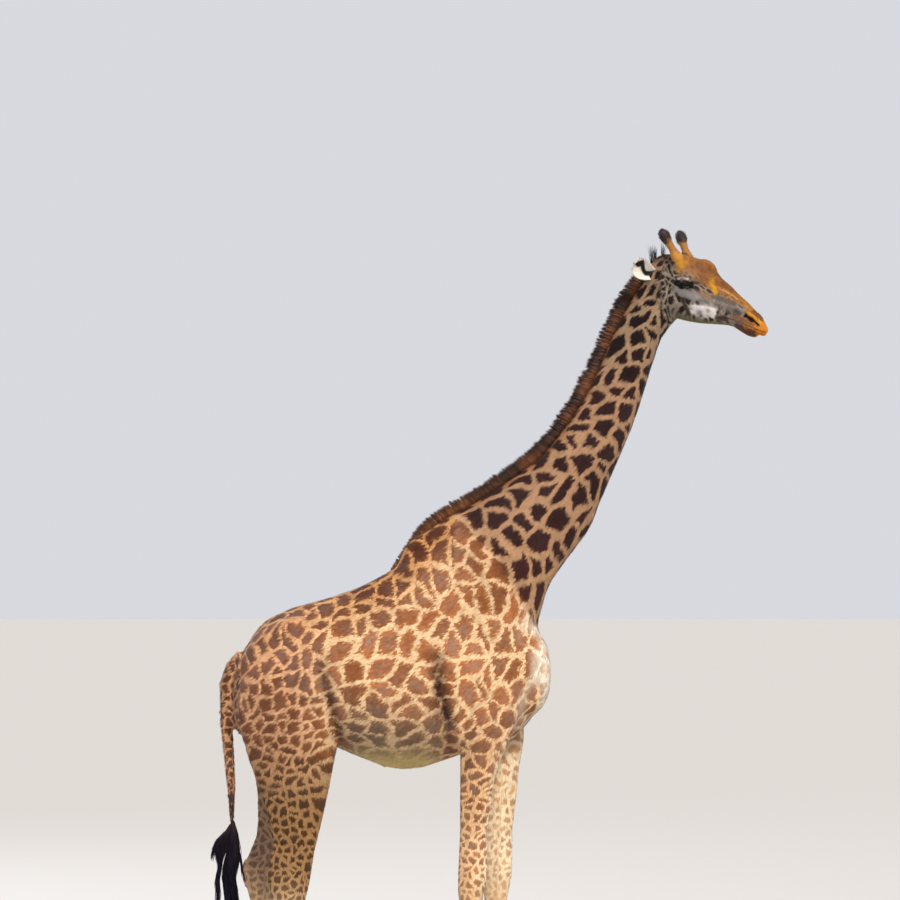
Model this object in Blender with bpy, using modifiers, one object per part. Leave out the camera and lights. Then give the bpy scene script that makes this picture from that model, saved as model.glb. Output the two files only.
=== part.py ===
"""A life-size standing giraffe, as a still museum model.

Frame: +X is the way the body faces, +Y its left side, +Z up. The design's own zero is on the floor under
the belly, and at the end everything is moved so that it is under the middle of the model's box. The flesh
is modelled whole, from lofted tubes and ellipsoid masses that are remeshed into one surface, and then
parted by thin cuts into head, neck, trunk, tail and four legs. Ears, horns, eyes, hooves, mane and tail
tuft are solids of their own.
"""

import math

import bmesh
import bpy
import numpy as np
from mathutils import Matrix, Vector

# Driving dimensions, in metres.
VOXEL = 0.008  # the remesh that joins the masses of the body
CREASE_ROUNDS = 420  # smoothing steps that fill the creases where masses meet
FINE_ROUNDS = 8  # light smoothing of everything afterwards
BODY_TRIANGLES = 2550
HEAD_TRIANGLES = 1700
CUT = 0.0005  # a parting cut's width
CUT_MARGIN = 0.03  # how far past the head's cut its two sides are thinned out
GAP = 0.0004  # the gap left where one piece rests flat on another
SEAT_GAP = 0.0008  # and where it is seated on the uneven facets of the body
RING_POINTS = 28
RINGS_PER_STATION = 6
SMALL_RING_POINTS = 12  # on the pieces that stay as they are lofted
SMALL_RINGS_PER_STATION = 2

POLL = Vector((1.387, 0.0, 4.13))  # inside the skull, over its joint with the neck
HEAD_PITCH = math.radians(27)  # the head's own axis points this far down
HEAD_YAW = math.radians(-30)  # and this far to the animal's right
HEAD_FRAME = (
    Matrix.Translation(POLL) @ Matrix.Rotation(HEAD_YAW, 4, "Z") @ Matrix.Rotation(HEAD_PITCH, 4, "Y")
)
SIDES = {"left": 1, "right": -1}

EYE_RADIUS = 0.025
EYE_PLACE = Vector((0.237, 0.082, 0.049))  # in the head's frame, left side
EYE_SLIT = (0.027, 0.020, 0.012)  # half the lids' opening: along the head, into it, and up

# How far each leg is carried forward (+) or back (-) of the square stance, by height above the floor.
STRIDE = {
    "foreleg_left": [(0.0, 0.135), (1.43, 0.135), (1.60, 0.11), (1.9, 0.0)],
    "foreleg_right": [(0.0, 0.0), (1.9, 0.0)],
    "hindleg_left": [(0.0, -0.145), (1.03, -0.14), (1.22, -0.085), (1.36, -0.045), (1.6, 0.0)],
    "hindleg_right": [(0.0, 0.0), (1.9, 0.0)],
}

FOOT_OUT = 0.162  # from the midline to the middle of a foot
FETLOCK_X = {"foreleg": 0.421, "hindleg": -0.500}  # the pastern's middle, before the stride

CORONET_TILT = math.radians(-17)  # the hoof is higher in front than at the heel
CORONET_HEIGHT = 0.078
CORONET_AHEAD = 0.03  # of the pastern's middle
HOOF_LENGTH = 0.178
HOOF_AHEAD = 0.035  # the middle of the sole, from the pastern's middle
HOOF_WIDTH = 0.062
HOOF_RAKE = 0.22  # how far the wall leans back for each metre up
HOOF_SECTIONS = [(0.0, 0.97), (0.006, 1.0), (0.055, 0.90), (0.115, 0.77)]  # height, share of the full size
TOE_TAPER = 0.35
CLEFT = 0.007  # the slit between the two claws, at the heel
CLEFT_SPREAD = 0.004  # and how much further from the middle each of its sides is at the toe

HORN_ROOT = Vector((0.140, 0.052, 0.118))  # in the head's frame, left side
HORN_TIP = Vector((0.002, 0.097, 0.218))
HORN_RADII = [  # share of the way from root to tip, radius
    (0.0, 0.038),
    (0.25, 0.031),
    (0.5, 0.0235),
    (0.66, 0.0225),
    (0.80, 0.0270),
    (0.91, 0.0300),
    (1.02, 0.0270),
    (1.09, 0.018),
    (1.12, 0.006),
]

EAR_LENGTH = 0.200
EAR_HALF_WIDTH = 0.064
EAR_THICKNESS = 0.006
EAR_ROWS = 9
EAR_COLUMNS = 7
EAR_CURL = (150, 85)  # degrees it is rolled at the root, and how many fewer at the tip
EAR_ROOT = Vector((0.032, 0.070, -0.002))
# Where each ear points and which way it opens, in the head's frame: the left is raised, the right turned out.
EAR_POINTS = {1: Vector((0.30, 0.60, 0.88)), -1: Vector((-0.33, -0.93, 0.10))}
EAR_OPENS = {1: Vector((0.90, 0.30, -0.30)), -1: Vector((0.90, -0.42, 0.10))}

MANE_HALF_FOOT = 0.020
MANE_HALF_CREST = 0.009
MANE_SUNK = 0.05  # how deep its foot starts inside the neck, before it is cut to the nape
MANE_SHOULDER = 0.72  # the share of the hair's length where the crest starts to narrow
TUFT_FLATNESS = 0.6  # its width over its depth

# The planes that part the flesh: a point on each, and its tilt from the horizontal in degrees.
HEAD_CUT = ((1.375, 0.0, 3.960), 34)
NECK_CUT = ((0.50, 0.0, 2.62), 47)
TAIL_CUT = ((-0.786, 0.0, 1.95), 93)
TAIL_HALF_WIDTH = 0.066
FORE_CUT = (0.24, 0.86, 1.610)  # back and front of the leg, and the height it is parted from the trunk
HIND_CUT = (-1.0, -0.22, 1.585)
LEG_CUT_INNER = 0.004  # the legs' cuts start this far from the midline
LEG_CUT_OUTER = 0.5
CRUMB = 24  # vertices: a smaller piece is a crumb left by a cut

COLOURS = {
    "coat": (0.62, 0.36, 0.18, 1),
    "face": (0.66, 0.38, 0.16, 1),
    "legs": (0.68, 0.47, 0.30, 1),
    "mane": (0.16, 0.06, 0.035, 1),
    "tail_tuft": (0.008, 0.008, 0.012, 1),
    "ears": (0.78, 0.72, 0.64, 1),
    "horns": (0.55, 0.26, 0.06, 1),
    "eyes": (0.006, 0.004, 0.004, 1),
    "hooves": (0.10, 0.075, 0.055, 1),
}
ROUGHNESS = {"eyes": 0.08, "hooves": 0.45}


# ---------------------------------------------------------------- helpers


def clear_scene():
    for obj in list(bpy.data.objects):
        bpy.data.objects.remove(obj, do_unlink=True)


def new_collection(name):
    collection = bpy.data.collections.new(name)
    bpy.context.scene.collection.children.link(collection)
    return collection


def material(finish):
    """A material for one finish of COLOURS. All of them are matt unless ROUGHNESS says otherwise."""
    made = bpy.data.materials.new(finish)
    made.use_nodes = True
    shader = made.node_tree.nodes["Principled BSDF"]
    shader.inputs["Base Color"].default_value = COLOURS[finish]
    shader.inputs["Roughness"].default_value = ROUGHNESS.get(finish, 0.85)
    shader.inputs["Metallic"].default_value = 0.0
    return made


def smooth_rows(rows, per_span):
    """Rows of numbers, and the rows of a Catmull-Rom curve through them."""
    rows = np.array(rows, float)
    padded = np.vstack([2 * rows[0] - rows[1], rows, 2 * rows[-1] - rows[-2]])
    found = []
    for i in range(1, len(padded) - 2):
        before, start, end, after = padded[i - 1 : i + 3]
        for t in np.arange(per_span) / per_span:
            found.append(
                0.5
                * (
                    2 * start
                    + (end - before) * t
                    + (2 * before - 5 * start + 4 * end - after) * t**2
                    + (3 * start - before - 3 * end + after) * t**3
                )
            )
    return np.array(found + [rows[-1]])


def ring(top, bottom, half_width, level=0.5, pinches=(0.0, 0.0), lateral=0.0, count=RING_POINTS):
    """Points round an egg-shaped section. top and bottom are (x, z) of its ends, level is the share of the
    way up from bottom to top where it is widest, and the pinches narrow its top and bottom."""
    top, bottom = np.array(top), np.array(bottom)
    middle = bottom + (top - bottom) * level
    points = []
    for step in range(count):
        angle = 2 * math.pi * step / count
        rise, spread = math.sin(angle), math.cos(angle)
        reach = (top - middle) * rise if rise > 0 else (bottom - middle) * -rise
        narrow = 1 - (pinches[0] * rise if rise > 0 else pinches[1] * -rise)
        x, z = middle + reach
        points.append(Vector((x, lateral + half_width * spread * narrow, z)))
    return points


def loft(name, rings, frame=None):
    """A closed tube through rings of points, with its ends filled."""
    shape = bmesh.new()
    loops = [[shape.verts.new(p) for p in points] for points in rings]
    for first, second in zip(loops, loops[1:]):
        for i in range(len(first)):
            j = (i + 1) % len(first)
            shape.faces.new((first[i], first[j], second[j], second[i]))
    shape.faces.new(loops[0])
    shape.faces.new(loops[-1])
    bmesh.ops.recalc_face_normals(shape, faces=shape.faces)
    if frame is not None:
        bmesh.ops.transform(shape, matrix=frame, verts=shape.verts)
    return finished(name, shape)


def finished(name, shape):
    """The bmesh as an object of the scene's helpers, where cutters and guides are wires and aren't rendered."""
    mesh = bpy.data.meshes.new(name)
    shape.to_mesh(mesh)
    shape.free()
    obj = bpy.data.objects.new(name, mesh)
    obj.display_type = "WIRE"
    obj.hide_render = True
    HELPERS.objects.link(obj)
    return obj


def tube(name, stations, frame=None):
    """A loft through stations (top x, top z, bottom x, bottom z, half width, level, pinch at the top, pinch
    at the bottom, distance to the left), which are smoothed first."""
    rings = [
        ring(r[0:2], r[2:4], max(r[4], 0.004), r[5], r[6:8], r[8])
        for r in smooth_rows(stations, RINGS_PER_STATION)
    ]
    return loft(name, rings, frame)


def ellipsoid(name, centre, radii, pitch=0.0, yaw=0.0, frame=None):
    """A muscle or bone mass: an ellipsoid, its long axis pitched (nose down is +) and yawed in degrees."""
    shape = bmesh.new()
    bmesh.ops.create_uvsphere(shape, u_segments=28, v_segments=18, radius=1.0)
    place = (
        Matrix.Translation(centre)
        @ Matrix.Rotation(math.radians(yaw), 4, "Z")
        @ Matrix.Rotation(math.radians(pitch), 4, "Y")
        @ Matrix.Diagonal((*radii, 1.0))
    )
    if frame is not None:
        place = frame @ place
    bmesh.ops.transform(shape, matrix=place, verts=shape.verts)
    return finished(name, shape)


def mirrored_ellipsoid(name, centre, radii, pitch=0.0, yaw=0.0, frame=None):
    """The mass on both sides: centre and yaw are the left one's."""
    return [
        ellipsoid(
            f"{name}_{side}",
            Vector((centre[0], sign * centre[1], centre[2])),
            radii,
            pitch,
            sign * yaw,
            frame,
        )
        for side, sign in SIDES.items()
    ]


def muscles(name, start, end, thickness, depth):
    """An ellipsoid between two points on the left, with its half thickness outwards and its half depth
    across, and its mirror image on the right."""
    made = []
    for side, sign in SIDES.items():
        first = Vector((start[0], sign * start[1], start[2]))
        last = Vector((end[0], sign * end[1], end[2]))
        along = (last - first).normalized()
        across = along.cross(Vector((0, 1, 0))).normalized()
        turn = Matrix((along, across.cross(along), across)).transposed().to_4x4()
        frame = Matrix.Translation((first + last) / 2) @ turn
        radii = ((last - first).length / 2, thickness, depth)
        made.append(ellipsoid(f"{name}_{side}", Vector(), radii, frame=frame))
    return made


def joined(objects, name):
    """The objects as one, overlapping still."""
    shape = bmesh.new()
    for obj in objects:
        shape.from_mesh(obj.data)
        bpy.data.objects.remove(obj, do_unlink=True)
    return finished(name, shape)


def evaluated_mesh(obj):
    bpy.context.view_layer.update()
    graph = bpy.context.evaluated_depsgraph_get()
    return bpy.data.meshes.new_from_object(obj.evaluated_get(graph))


def apply_modifiers(obj):
    mesh = evaluated_mesh(obj)
    obj.modifiers.clear()
    obj.data = mesh


def remesh(obj, size):
    """One surface round everything in obj."""
    voxels = obj.modifiers.new("Join the masses", "REMESH")
    voxels.mode = "VOXEL"
    voxels.voxel_size = size
    apply_modifiers(obj)


def mesh_arrays(mesh):
    """A mesh's vertex places and normals, and the two ends of its edges."""
    count = len(mesh.vertices)
    places = np.empty(count * 3)
    mesh.vertices.foreach_get("co", places)
    normals = np.empty(count * 3)
    mesh.vertices.foreach_get("normal", normals)
    edges = np.empty(len(mesh.edges) * 2, int)
    mesh.edges.foreach_get("vertices", edges)
    return places.reshape(-1, 3), normals.reshape(-1, 3), *edges.reshape(-1, 2).T


def relaxed(points, one, other, rounds, strength):
    """The points after rounds of moving each towards the mean of its neighbours."""
    count = len(points)
    neighbours = np.maximum(np.bincount(one, minlength=count) + np.bincount(other, minlength=count), 1)
    step = (0.5 * strength / neighbours)[:, None]
    for _ in range(rounds):
        total = np.stack(
            [
                np.bincount(one, points[other, k], count) + np.bincount(other, points[one, k], count)
                for k in range(3)
            ],
            axis=1,
        )
        points = points + step * (total - neighbours[:, None] * points)
    return points


def fill_creases(obj):
    """Rounds the hollows where masses meet and leaves the swelling forms as they are. The wide trunk and
    neck are rounded most, and the legs, tail and head, with their small forms, least."""
    places, normals, one, other = mesh_arrays(obj.data)
    x, y, z = places.T
    trunk = np.clip((z - 1.55) / 0.25, 0, 1) * np.clip((x + 0.80) / 0.08, 0, 1)
    head = np.clip((z - 3.62) / 0.2, 0, 1)
    strength = 0.05 + 0.95 * trunk * (1 - head)
    moved = relaxed(places, one, other, CREASE_ROUNDS, strength) - places
    outward = (moved * normals).sum(1)
    places = places + np.maximum(outward, 0)[:, None] * normals
    places = relaxed(places, one, other, FINE_ROUNDS, 0.25 + 0.75 * trunk * (1 - head))
    obj.data.vertices.foreach_set("co", places.ravel())
    obj.data.update()


def decimate(obj, triangles):
    fewer = obj.modifiers.new("Fewer triangles", "DECIMATE")
    fewer.ratio = triangles / (2 * len(obj.data.polygons))
    apply_modifiers(obj)


def box_cutter(name, low, high, frame=None):
    shape = bmesh.new()
    bmesh.ops.create_cube(shape, size=1.0)
    low, high = Vector(low), Vector(high)
    place = Matrix.Translation((low + high) / 2) @ Matrix.Diagonal((*(high - low), 1.0))
    if frame is not None:
        place = frame @ place
    bmesh.ops.transform(shape, matrix=place, verts=shape.verts)
    return finished(name, shape)


def boolean(obj, cutter, operation="DIFFERENCE"):
    """Cuts or intersects obj with the cutter, and applies it."""
    made = obj.modifiers.new("Cut", "BOOLEAN")
    made.operation = operation
    made.object = cutter
    made.solver = "EXACT"
    apply_modifiers(obj)


def copy_of(obj, name):
    made = obj.copy()
    made.data = obj.data.copy()
    made.name = name
    HELPERS.objects.link(made)
    return made


def grown(obj, name, distance):
    """A copy with its faces moved out by a small distance, for cutting a piece that rests on obj."""
    made = copy_of(obj, name)
    shape = bmesh.new()
    shape.from_mesh(made.data)
    shape.normal_update()
    offsets = [v.normal * distance * min(v.calc_shell_factor(), 3.0) for v in shape.verts]
    for vertex, offset in zip(shape.verts, offsets):
        vertex.co += offset
    shape.to_mesh(made.data)
    shape.free()
    return made


def keep(obj, name, finish):
    """Names a finished sub-part, gives it a material of its own and moves it to the giraffe's collection."""
    obj.name = name
    obj.data.name = name
    obj.data.materials.clear()
    surface = material(finish)
    surface.name = f"{finish}_{name}" if name != finish else finish
    obj.data.materials.append(surface)
    obj.display_type = "TEXTURED"
    obj.hide_render = False
    HELPERS.objects.unlink(obj)
    GIRAFFE.objects.link(obj)


# ---------------------------------------------------------------- the flesh


def trunk_masses():
    """The barrel, from buttocks to breast: (x, top, bottom, half width, level, pinch top)."""
    barrel = [
        (-0.822, 1.960, 1.850, 0.040, 0.50, 0.0),
        (-0.805, 2.060, 1.740, 0.110, 0.50, 0.1),
        (-0.750, 2.180, 1.690, 0.190, 0.50, 0.2),
        (-0.660, 2.300, 1.670, 0.245, 0.50, 0.2),
        (-0.520, 2.372, 1.670, 0.280, 0.50, 0.25),
        (-0.360, 2.418, 1.670, 0.305, 0.48, 0.4),
        (-0.180, 2.478, 1.600, 0.335, 0.45, 0.4),
        (-0.020, 2.560, 1.540, 0.348, 0.42, 0.45),
        (0.080, 2.640, 1.528, 0.346, 0.40, 0.55),
        (0.170, 2.705, 1.536, 0.335, 0.38, 0.6),
        (0.300, 2.720, 1.578, 0.305, 0.38, 0.6),
        (0.440, 2.660, 1.625, 0.275, 0.38, 0.5),
        (0.570, 2.520, 1.680, 0.240, 0.40, 0.4),
        (0.680, 2.370, 1.740, 0.200, 0.42, 0.2),
        (0.780, 2.260, 1.840, 0.140, 0.45, 0.1),
        (0.836, 2.150, 1.950, 0.050, 0.50, 0.0),
    ]
    masses = [tube("barrel", [(x, top, x, low, w, lv, p, 0.0, 0.0) for x, top, low, w, lv, p in barrel])]
    masses += muscles("shoulder_blade", (0.08, 0.085, 2.62), (0.68, 0.205, 2.08), 0.055, 0.15)
    masses += muscles("upper_arm", (0.74, 0.17, 2.16), (0.36, 0.205, 1.76), 0.080, 0.14)
    masses += muscles("triceps", (0.26, 0.16, 2.26), (0.40, 0.20, 1.66), 0.065, 0.10)
    masses += muscles("hip_bone", (-0.50, 0.12, 2.33), (-0.34, 0.24, 2.12), 0.040, 0.08)
    masses += muscles("rump", (-0.40, 0.12, 2.32), (-0.79, 0.10, 1.98), 0.095, 0.12)
    masses += muscles("thigh", (-0.34, 0.20, 2.16), (-0.56, 0.20, 1.50), 0.085, 0.17)
    masses += muscles("flank", (-0.40, 0.24, 2.05), (-0.26, 0.20, 1.70), 0.050, 0.06)
    masses += muscles("breast", (0.70, 0.060, 2.27), (0.73, 0.060, 1.81), 0.125, 0.13)
    masses.append(ellipsoid("brisket", Vector((0.55, 0, 1.77)), (0.22, 0.12, 0.11), -26))
    masses.append(ellipsoid("withers", Vector((0.200, 0, 2.64)), (0.18, 0.085, 0.13), -38))
    return masses


def neck_masses():
    """The neck: nape point, throat point and half width, from inside the shoulders to inside the skull."""
    neck = [
        (0.100, 2.600, 0.700, 2.000, 0.200),
        (0.210, 2.790, 0.765, 2.240, 0.200),
        (0.295, 2.848, 0.800, 2.380, 0.188),
        (0.400, 2.905, 0.842, 2.500, 0.174),
        (0.515, 2.975, 0.935, 2.635, 0.160),
        (0.655, 3.070, 1.046, 2.785, 0.147),
        (0.784, 3.165, 1.105, 2.930, 0.135),
        (0.895, 3.295, 1.184, 3.115, 0.125),
        (1.003, 3.455, 1.268, 3.310, 0.115),
        (1.083, 3.615, 1.332, 3.500, 0.107),
        (1.162, 3.800, 1.390, 3.690, 0.100),
        (1.245, 3.965, 1.425, 3.785, 0.096),
        (1.310, 4.060, 1.470, 3.850, 0.092),
        (1.370, 4.100, 1.520, 3.900, 0.080),
    ]
    masses = [
        tube("neck_tube", [(dx, dz, vx, vz, w, 0.46, 0.35, 0.15, 0.0) for dx, dz, vx, vz, w in neck])
    ]
    masses += muscles("neck_root", (0.36, 0.12, 2.26), (0.80, 0.10, 2.80), 0.070, 0.15)
    return masses


def foreleg_mass(name, side):
    """One foreleg: height, back x, front x, half width, distance from the midline."""
    stations = [
        (1.98, 0.34, 0.70, 0.080, 0.190),
        (1.80, 0.35, 0.67, 0.095, 0.185),
        (1.66, 0.36, 0.615, 0.092, 0.178),
        (1.54, 0.362, 0.565, 0.078, 0.172),
        (1.38, 0.362, 0.533, 0.066, 0.168),
        (1.20, 0.360, 0.512, 0.058, 0.165),
        (1.08, 0.354, 0.513, 0.064, 0.163),
        (0.97, 0.351, 0.508, 0.069, 0.162),
        (0.87, 0.353, 0.490, 0.060, 0.162),
        (0.75, 0.360, 0.470, 0.046, 0.162),
        (0.50, 0.364, 0.460, 0.042, 0.162),
        (0.33, 0.358, 0.464, 0.045, 0.162),
        (0.245, 0.346, 0.473, 0.055, 0.162),
        (0.165, 0.365, 0.488, 0.053, 0.162),
        (0.100, 0.373, 0.512, 0.061, 0.162),
        (0.020, 0.378, 0.541, 0.065, 0.162),
    ]
    return leg_tube(name, stations, side)


def hindleg_mass(name, side):
    """One hind leg, as foreleg_mass."""
    stations = [
        (2.16, -0.72, -0.44, 0.085, 0.165),
        (2.00, -0.775, -0.38, 0.110, 0.178),
        (1.86, -0.788, -0.31, 0.122, 0.184),
        (1.70, -0.765, -0.270, 0.115, 0.184),
        (1.56, -0.725, -0.288, 0.100, 0.180),
        (1.42, -0.675, -0.315, 0.084, 0.175),
        (1.28, -0.635, -0.345, 0.068, 0.170),
        (1.16, -0.612, -0.375, 0.058, 0.166),
        (1.07, -0.625, -0.392, 0.057, 0.164),
        (1.00, -0.640, -0.402, 0.060, 0.162),
        (0.93, -0.630, -0.415, 0.055, 0.160),
        (0.84, -0.605, -0.438, 0.048, 0.160),
        (0.72, -0.582, -0.462, 0.041, 0.160),
        (0.50, -0.570, -0.472, 0.039, 0.160),
        (0.33, -0.572, -0.468, 0.042, 0.160),
        (0.245, -0.585, -0.458, 0.052, 0.160),
        (0.165, -0.562, -0.440, 0.050, 0.160),
        (0.100, -0.550, -0.415, 0.057, 0.160),
        (0.020, -0.545, -0.388, 0.061, 0.160),
    ]
    return leg_tube(name, stations, side)


def stride_at(name, height):
    heights, shifts = zip(*STRIDE[name])
    return float(np.interp(height, heights, shifts))


def leg_tube(name, stations, side):
    rows = []
    for height, back, front, half_width, out in stations:
        shift = stride_at(name, height)
        rows.append((front + shift, height, back + shift, height, half_width, 0.5, 0.12, 0.3, side * out))
    return tube(name + "_tube", rows)


def tail_masses():
    """The tail's fleshy dock: centre x and z and its half thickness, hanging clear of the buttocks."""
    dock = [
        (-0.760, 2.110, 0.055),
        (-0.812, 2.060, 0.050),
        (-0.846, 1.980, 0.044),
        (-0.853, 1.870, 0.038),
        (-0.853, 1.760, 0.034),
        (-0.845, 1.640, 0.028),
        (-0.834, 1.500, 0.023),
        (-0.824, 1.390, 0.020),
        (-0.817, 1.270, 0.018),
        (-0.815, 1.190, 0.014),
        (-0.815, 1.120, 0.010),
    ]
    return [path_tube("dock", dock)]


def path_tube(name, path, flatten=1.0, count=RING_POINTS, per_station=RINGS_PER_STATION):
    """A tube along (x, z, half thickness) in the midline plane, with rings square to its path."""
    rows = smooth_rows(path, per_station)
    along = np.gradient(rows[:, :2], axis=0)
    along /= np.linalg.norm(along, axis=1)[:, None]
    across = np.stack([-along[:, 1], along[:, 0]], axis=1)
    rings = [
        ring(row[:2] + side * row[2], row[:2] - side * row[2], row[2] * flatten, count=count)
        for row, side in zip(rows, across)
    ]
    return loft(name, rings)


def head_masses():
    """The head, in its own frame: +X along it to the lips, +Z up from the poll."""
    profile = [
        (-0.045, 0.020, -0.060, 0.050, 0.50, 0.0, 0.0),
        (-0.020, 0.065, -0.110, 0.068, 0.50, 0.2, 0.0),
        (0.012, 0.108, -0.150, 0.080, 0.50, 0.3, 0.1),
        (0.060, 0.138, -0.168, 0.084, 0.50, 0.3, 0.2),
        (0.110, 0.157, -0.179, 0.087, 0.52, 0.35, 0.3),
        (0.170, 0.172, -0.178, 0.090, 0.56, 0.40, 0.40),
        (0.230, 0.182, -0.163, 0.090, 0.58, 0.42, 0.48),
        (0.285, 0.182, -0.150, 0.081, 0.58, 0.45, 0.50),
        (0.340, 0.158, -0.134, 0.069, 0.56, 0.45, 0.48),
        (0.400, 0.135, -0.111, 0.057, 0.53, 0.45, 0.42),
        (0.470, 0.120, -0.080, 0.049, 0.50, 0.42, 0.35),
        (0.540, 0.105, -0.057, 0.046, 0.50, 0.38, 0.30),
        (0.600, 0.088, -0.060, 0.049, 0.50, 0.35, 0.25),
        (0.650, 0.067, -0.048, 0.048, 0.48, 0.30, 0.25),
        (0.690, 0.049, -0.030, 0.041, 0.46, 0.25, 0.25),
        (0.716, 0.034, -0.014, 0.029, 0.45, 0.20, 0.20),
        (0.732, 0.018, 0.002, 0.012, 0.50, 0.0, 0.0),
    ]
    masses = [
        tube(
            "skull",
            [(a, top, a, low, w, lv, pt, pb, 0.0) for a, top, low, w, lv, pt, pb in profile],
            frame=HEAD_FRAME,
        )
    ]

    def pair(name, centre, radii, pitch=0.0, yaw=0.0):
        masses.extend(mirrored_ellipsoid(name, centre, radii, pitch, yaw, HEAD_FRAME))

    pair("orbit", (0.235, 0.074, 0.058), (0.052, 0.034, 0.036), pitch=-4, yaw=-6)
    pair("brow", (0.212, 0.070, 0.095), (0.050, 0.026, 0.022), pitch=-12, yaw=-8)
    pair("cheek", (0.150, 0.052, -0.065), (0.085, 0.036, 0.085), pitch=20)
    pair("cheek_bone", (0.320, 0.056, 0.022), (0.095, 0.016, 0.020), pitch=6, yaw=-14)
    pair("jaw_angle", (0.150, 0.038, -0.140), (0.060, 0.030, 0.040), pitch=4)
    pair("horn_root", (0.120, 0.050, 0.122), (0.050, 0.034, 0.034), pitch=30)
    pair("nostril_wing", (0.628, 0.034, 0.044), (0.046, 0.018, 0.026), pitch=14, yaw=-4)
    pair("lip_side", (0.650, 0.026, -0.002), (0.060, 0.024, 0.022), pitch=12)
    middle_masses = [
        ("brow_boss", (0.268, 0, 0.158), (0.062, 0.034, 0.036), 8),
        ("nose_bridge", (0.45, 0, 0.104), (0.15, 0.022, 0.022), 15),
        ("upper_lip", (0.700, 0, 0.004), (0.036, 0.028, 0.026), 35),
        ("lower_lip", (0.632, 0, -0.041), (0.060, 0.026, 0.019), 0),
        ("poll", (0.040, 0, 0.070), (0.080, 0.055, 0.050), -30),
    ]
    for name, centre, radii, pitch in middle_masses:
        masses.append(ellipsoid(name, Vector(centre), radii, pitch, frame=HEAD_FRAME))
    return masses


def whole_body():
    """Every fleshy mass as one remeshed surface."""
    masses = trunk_masses() + neck_masses() + tail_masses() + head_masses()
    for side, sign in SIDES.items():
        masses.append(foreleg_mass(f"foreleg_{side}", sign))
        masses.append(hindleg_mass(f"hindleg_{side}", sign))
    body = joined(masses, "body")
    remesh(body, VOXEL)
    fill_creases(body)
    return body


# ---------------------------------------------------------------- pieces of their own


def feet():
    """For each foot, its leg's name, side, and the x of its pastern's middle."""
    for leg, middle in FETLOCK_X.items():
        for side, sign in SIDES.items():
            name = f"{leg}_{side}"
            yield name, sign, middle + stride_at(name, 0.0)


def coronet_frame(middle, lateral):
    """The plane between leg and hooves, with +Z up out of it."""
    place = Matrix.Translation((middle + CORONET_AHEAD, lateral, CORONET_HEIGHT))
    return place @ Matrix.Rotation(CORONET_TILT, 4, "Y")


def hoof(name, middle, lateral, side):
    """One half of a cloven hoof: its sole is flat on the floor, and its wall slopes up to the coronet.
    side is +1 for the claw on the animal's left."""
    rings = []
    for height, scale in HOOF_SECTIONS:
        points = []
        for step in range(SMALL_RING_POINTS):
            angle = 2 * math.pi * step / SMALL_RING_POINTS
            along = math.copysign(abs(math.cos(angle)) ** 0.8, math.cos(angle))
            across = math.copysign(abs(math.sin(angle)) ** 0.7, math.sin(angle))
            toe = 0.5 * (1 + along)
            x = middle + HOOF_AHEAD + scale * HOOF_LENGTH / 2 * along - HOOF_RAKE * height
            taper = 1 - TOE_TAPER * toe**2
            half = HOOF_WIDTH / 2 * scale
            y = side * (CLEFT / 2 + 2 * CLEFT_SPREAD * toe + half * (1 + across * taper))
            points.append(Vector((x, lateral + y, height)))
        rings.append(points)
    obj = loft(name, rings)
    place = coronet_frame(middle, lateral)
    cut_away(obj, box_cutter("above_coronet", (-0.3, -0.3, -GAP / 2), (0.3, 0.3, 0.3), place))
    return obj


def horn(side):
    """An ossicone: a stubby bony horn in skin, swelling to a knob."""
    root = Vector((HORN_ROOT.x, side * HORN_ROOT.y, HORN_ROOT.z))
    axis = Vector((HORN_TIP.x, side * HORN_TIP.y, HORN_TIP.z)) - root
    turn = axis.to_track_quat("Z", "X").to_matrix().to_4x4()
    turns = [2 * math.pi * i / SMALL_RING_POINTS for i in range(SMALL_RING_POINTS)]
    rings = []
    for along, radius in HORN_RADII:
        height = along * axis.length
        rings.append([Vector((radius * math.cos(t), radius * math.sin(t), height)) for t in turns])
    frame = HEAD_FRAME @ Matrix.Translation(root) @ turn
    return loft("horn", rings, frame)


def ear(side):
    """A leaf-shaped ear: a sheet curled into a cup that opens forward, thickened into a shell."""
    shape = bmesh.new()
    grid = []
    for i in range(EAR_ROWS + 1):
        along = i / EAR_ROWS
        width = EAR_HALF_WIDTH * (0.34 + 0.66 * math.sin(math.pi * min(1.0, 0.1 + along * 0.62)))
        width *= max(0.0, 1 - along**3.2) ** 0.62 + 0.03
        curl = math.radians(EAR_CURL[0] - EAR_CURL[1] * along)
        line = []
        for j in range(EAR_COLUMNS + 1):
            across = -1 + 2 * j / EAR_COLUMNS
            angle = across * curl / 2
            radius = width / (curl / 2)
            x = radius * (1 - math.cos(angle)) - 0.35 * width
            y = EAR_LENGTH * along
            z = radius * math.sin(angle)
            line.append(shape.verts.new((x + 0.02 * along**2, y, z - 0.012 * along**2)))
        grid.append(line)
    for lower, upper in zip(grid, grid[1:]):
        for j in range(EAR_COLUMNS):
            shape.faces.new((lower[j], lower[j + 1], upper[j + 1], upper[j]))
    obj = finished("ear", shape)
    thick = obj.modifiers.new("Thickness", "SOLIDIFY")
    thick.thickness = EAR_THICKNESS
    thick.offset = 0.0
    apply_modifiers(obj)
    along = EAR_POINTS[side].normalized()
    opening = (EAR_OPENS[side] - EAR_OPENS[side].dot(along) * along).normalized()
    place = Matrix((opening, along, opening.cross(along))).transposed().to_4x4()
    place.translation = Vector((EAR_ROOT.x, side * EAR_ROOT.y, EAR_ROOT.z))
    obj.data.transform(HEAD_FRAME @ place)
    return obj


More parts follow.
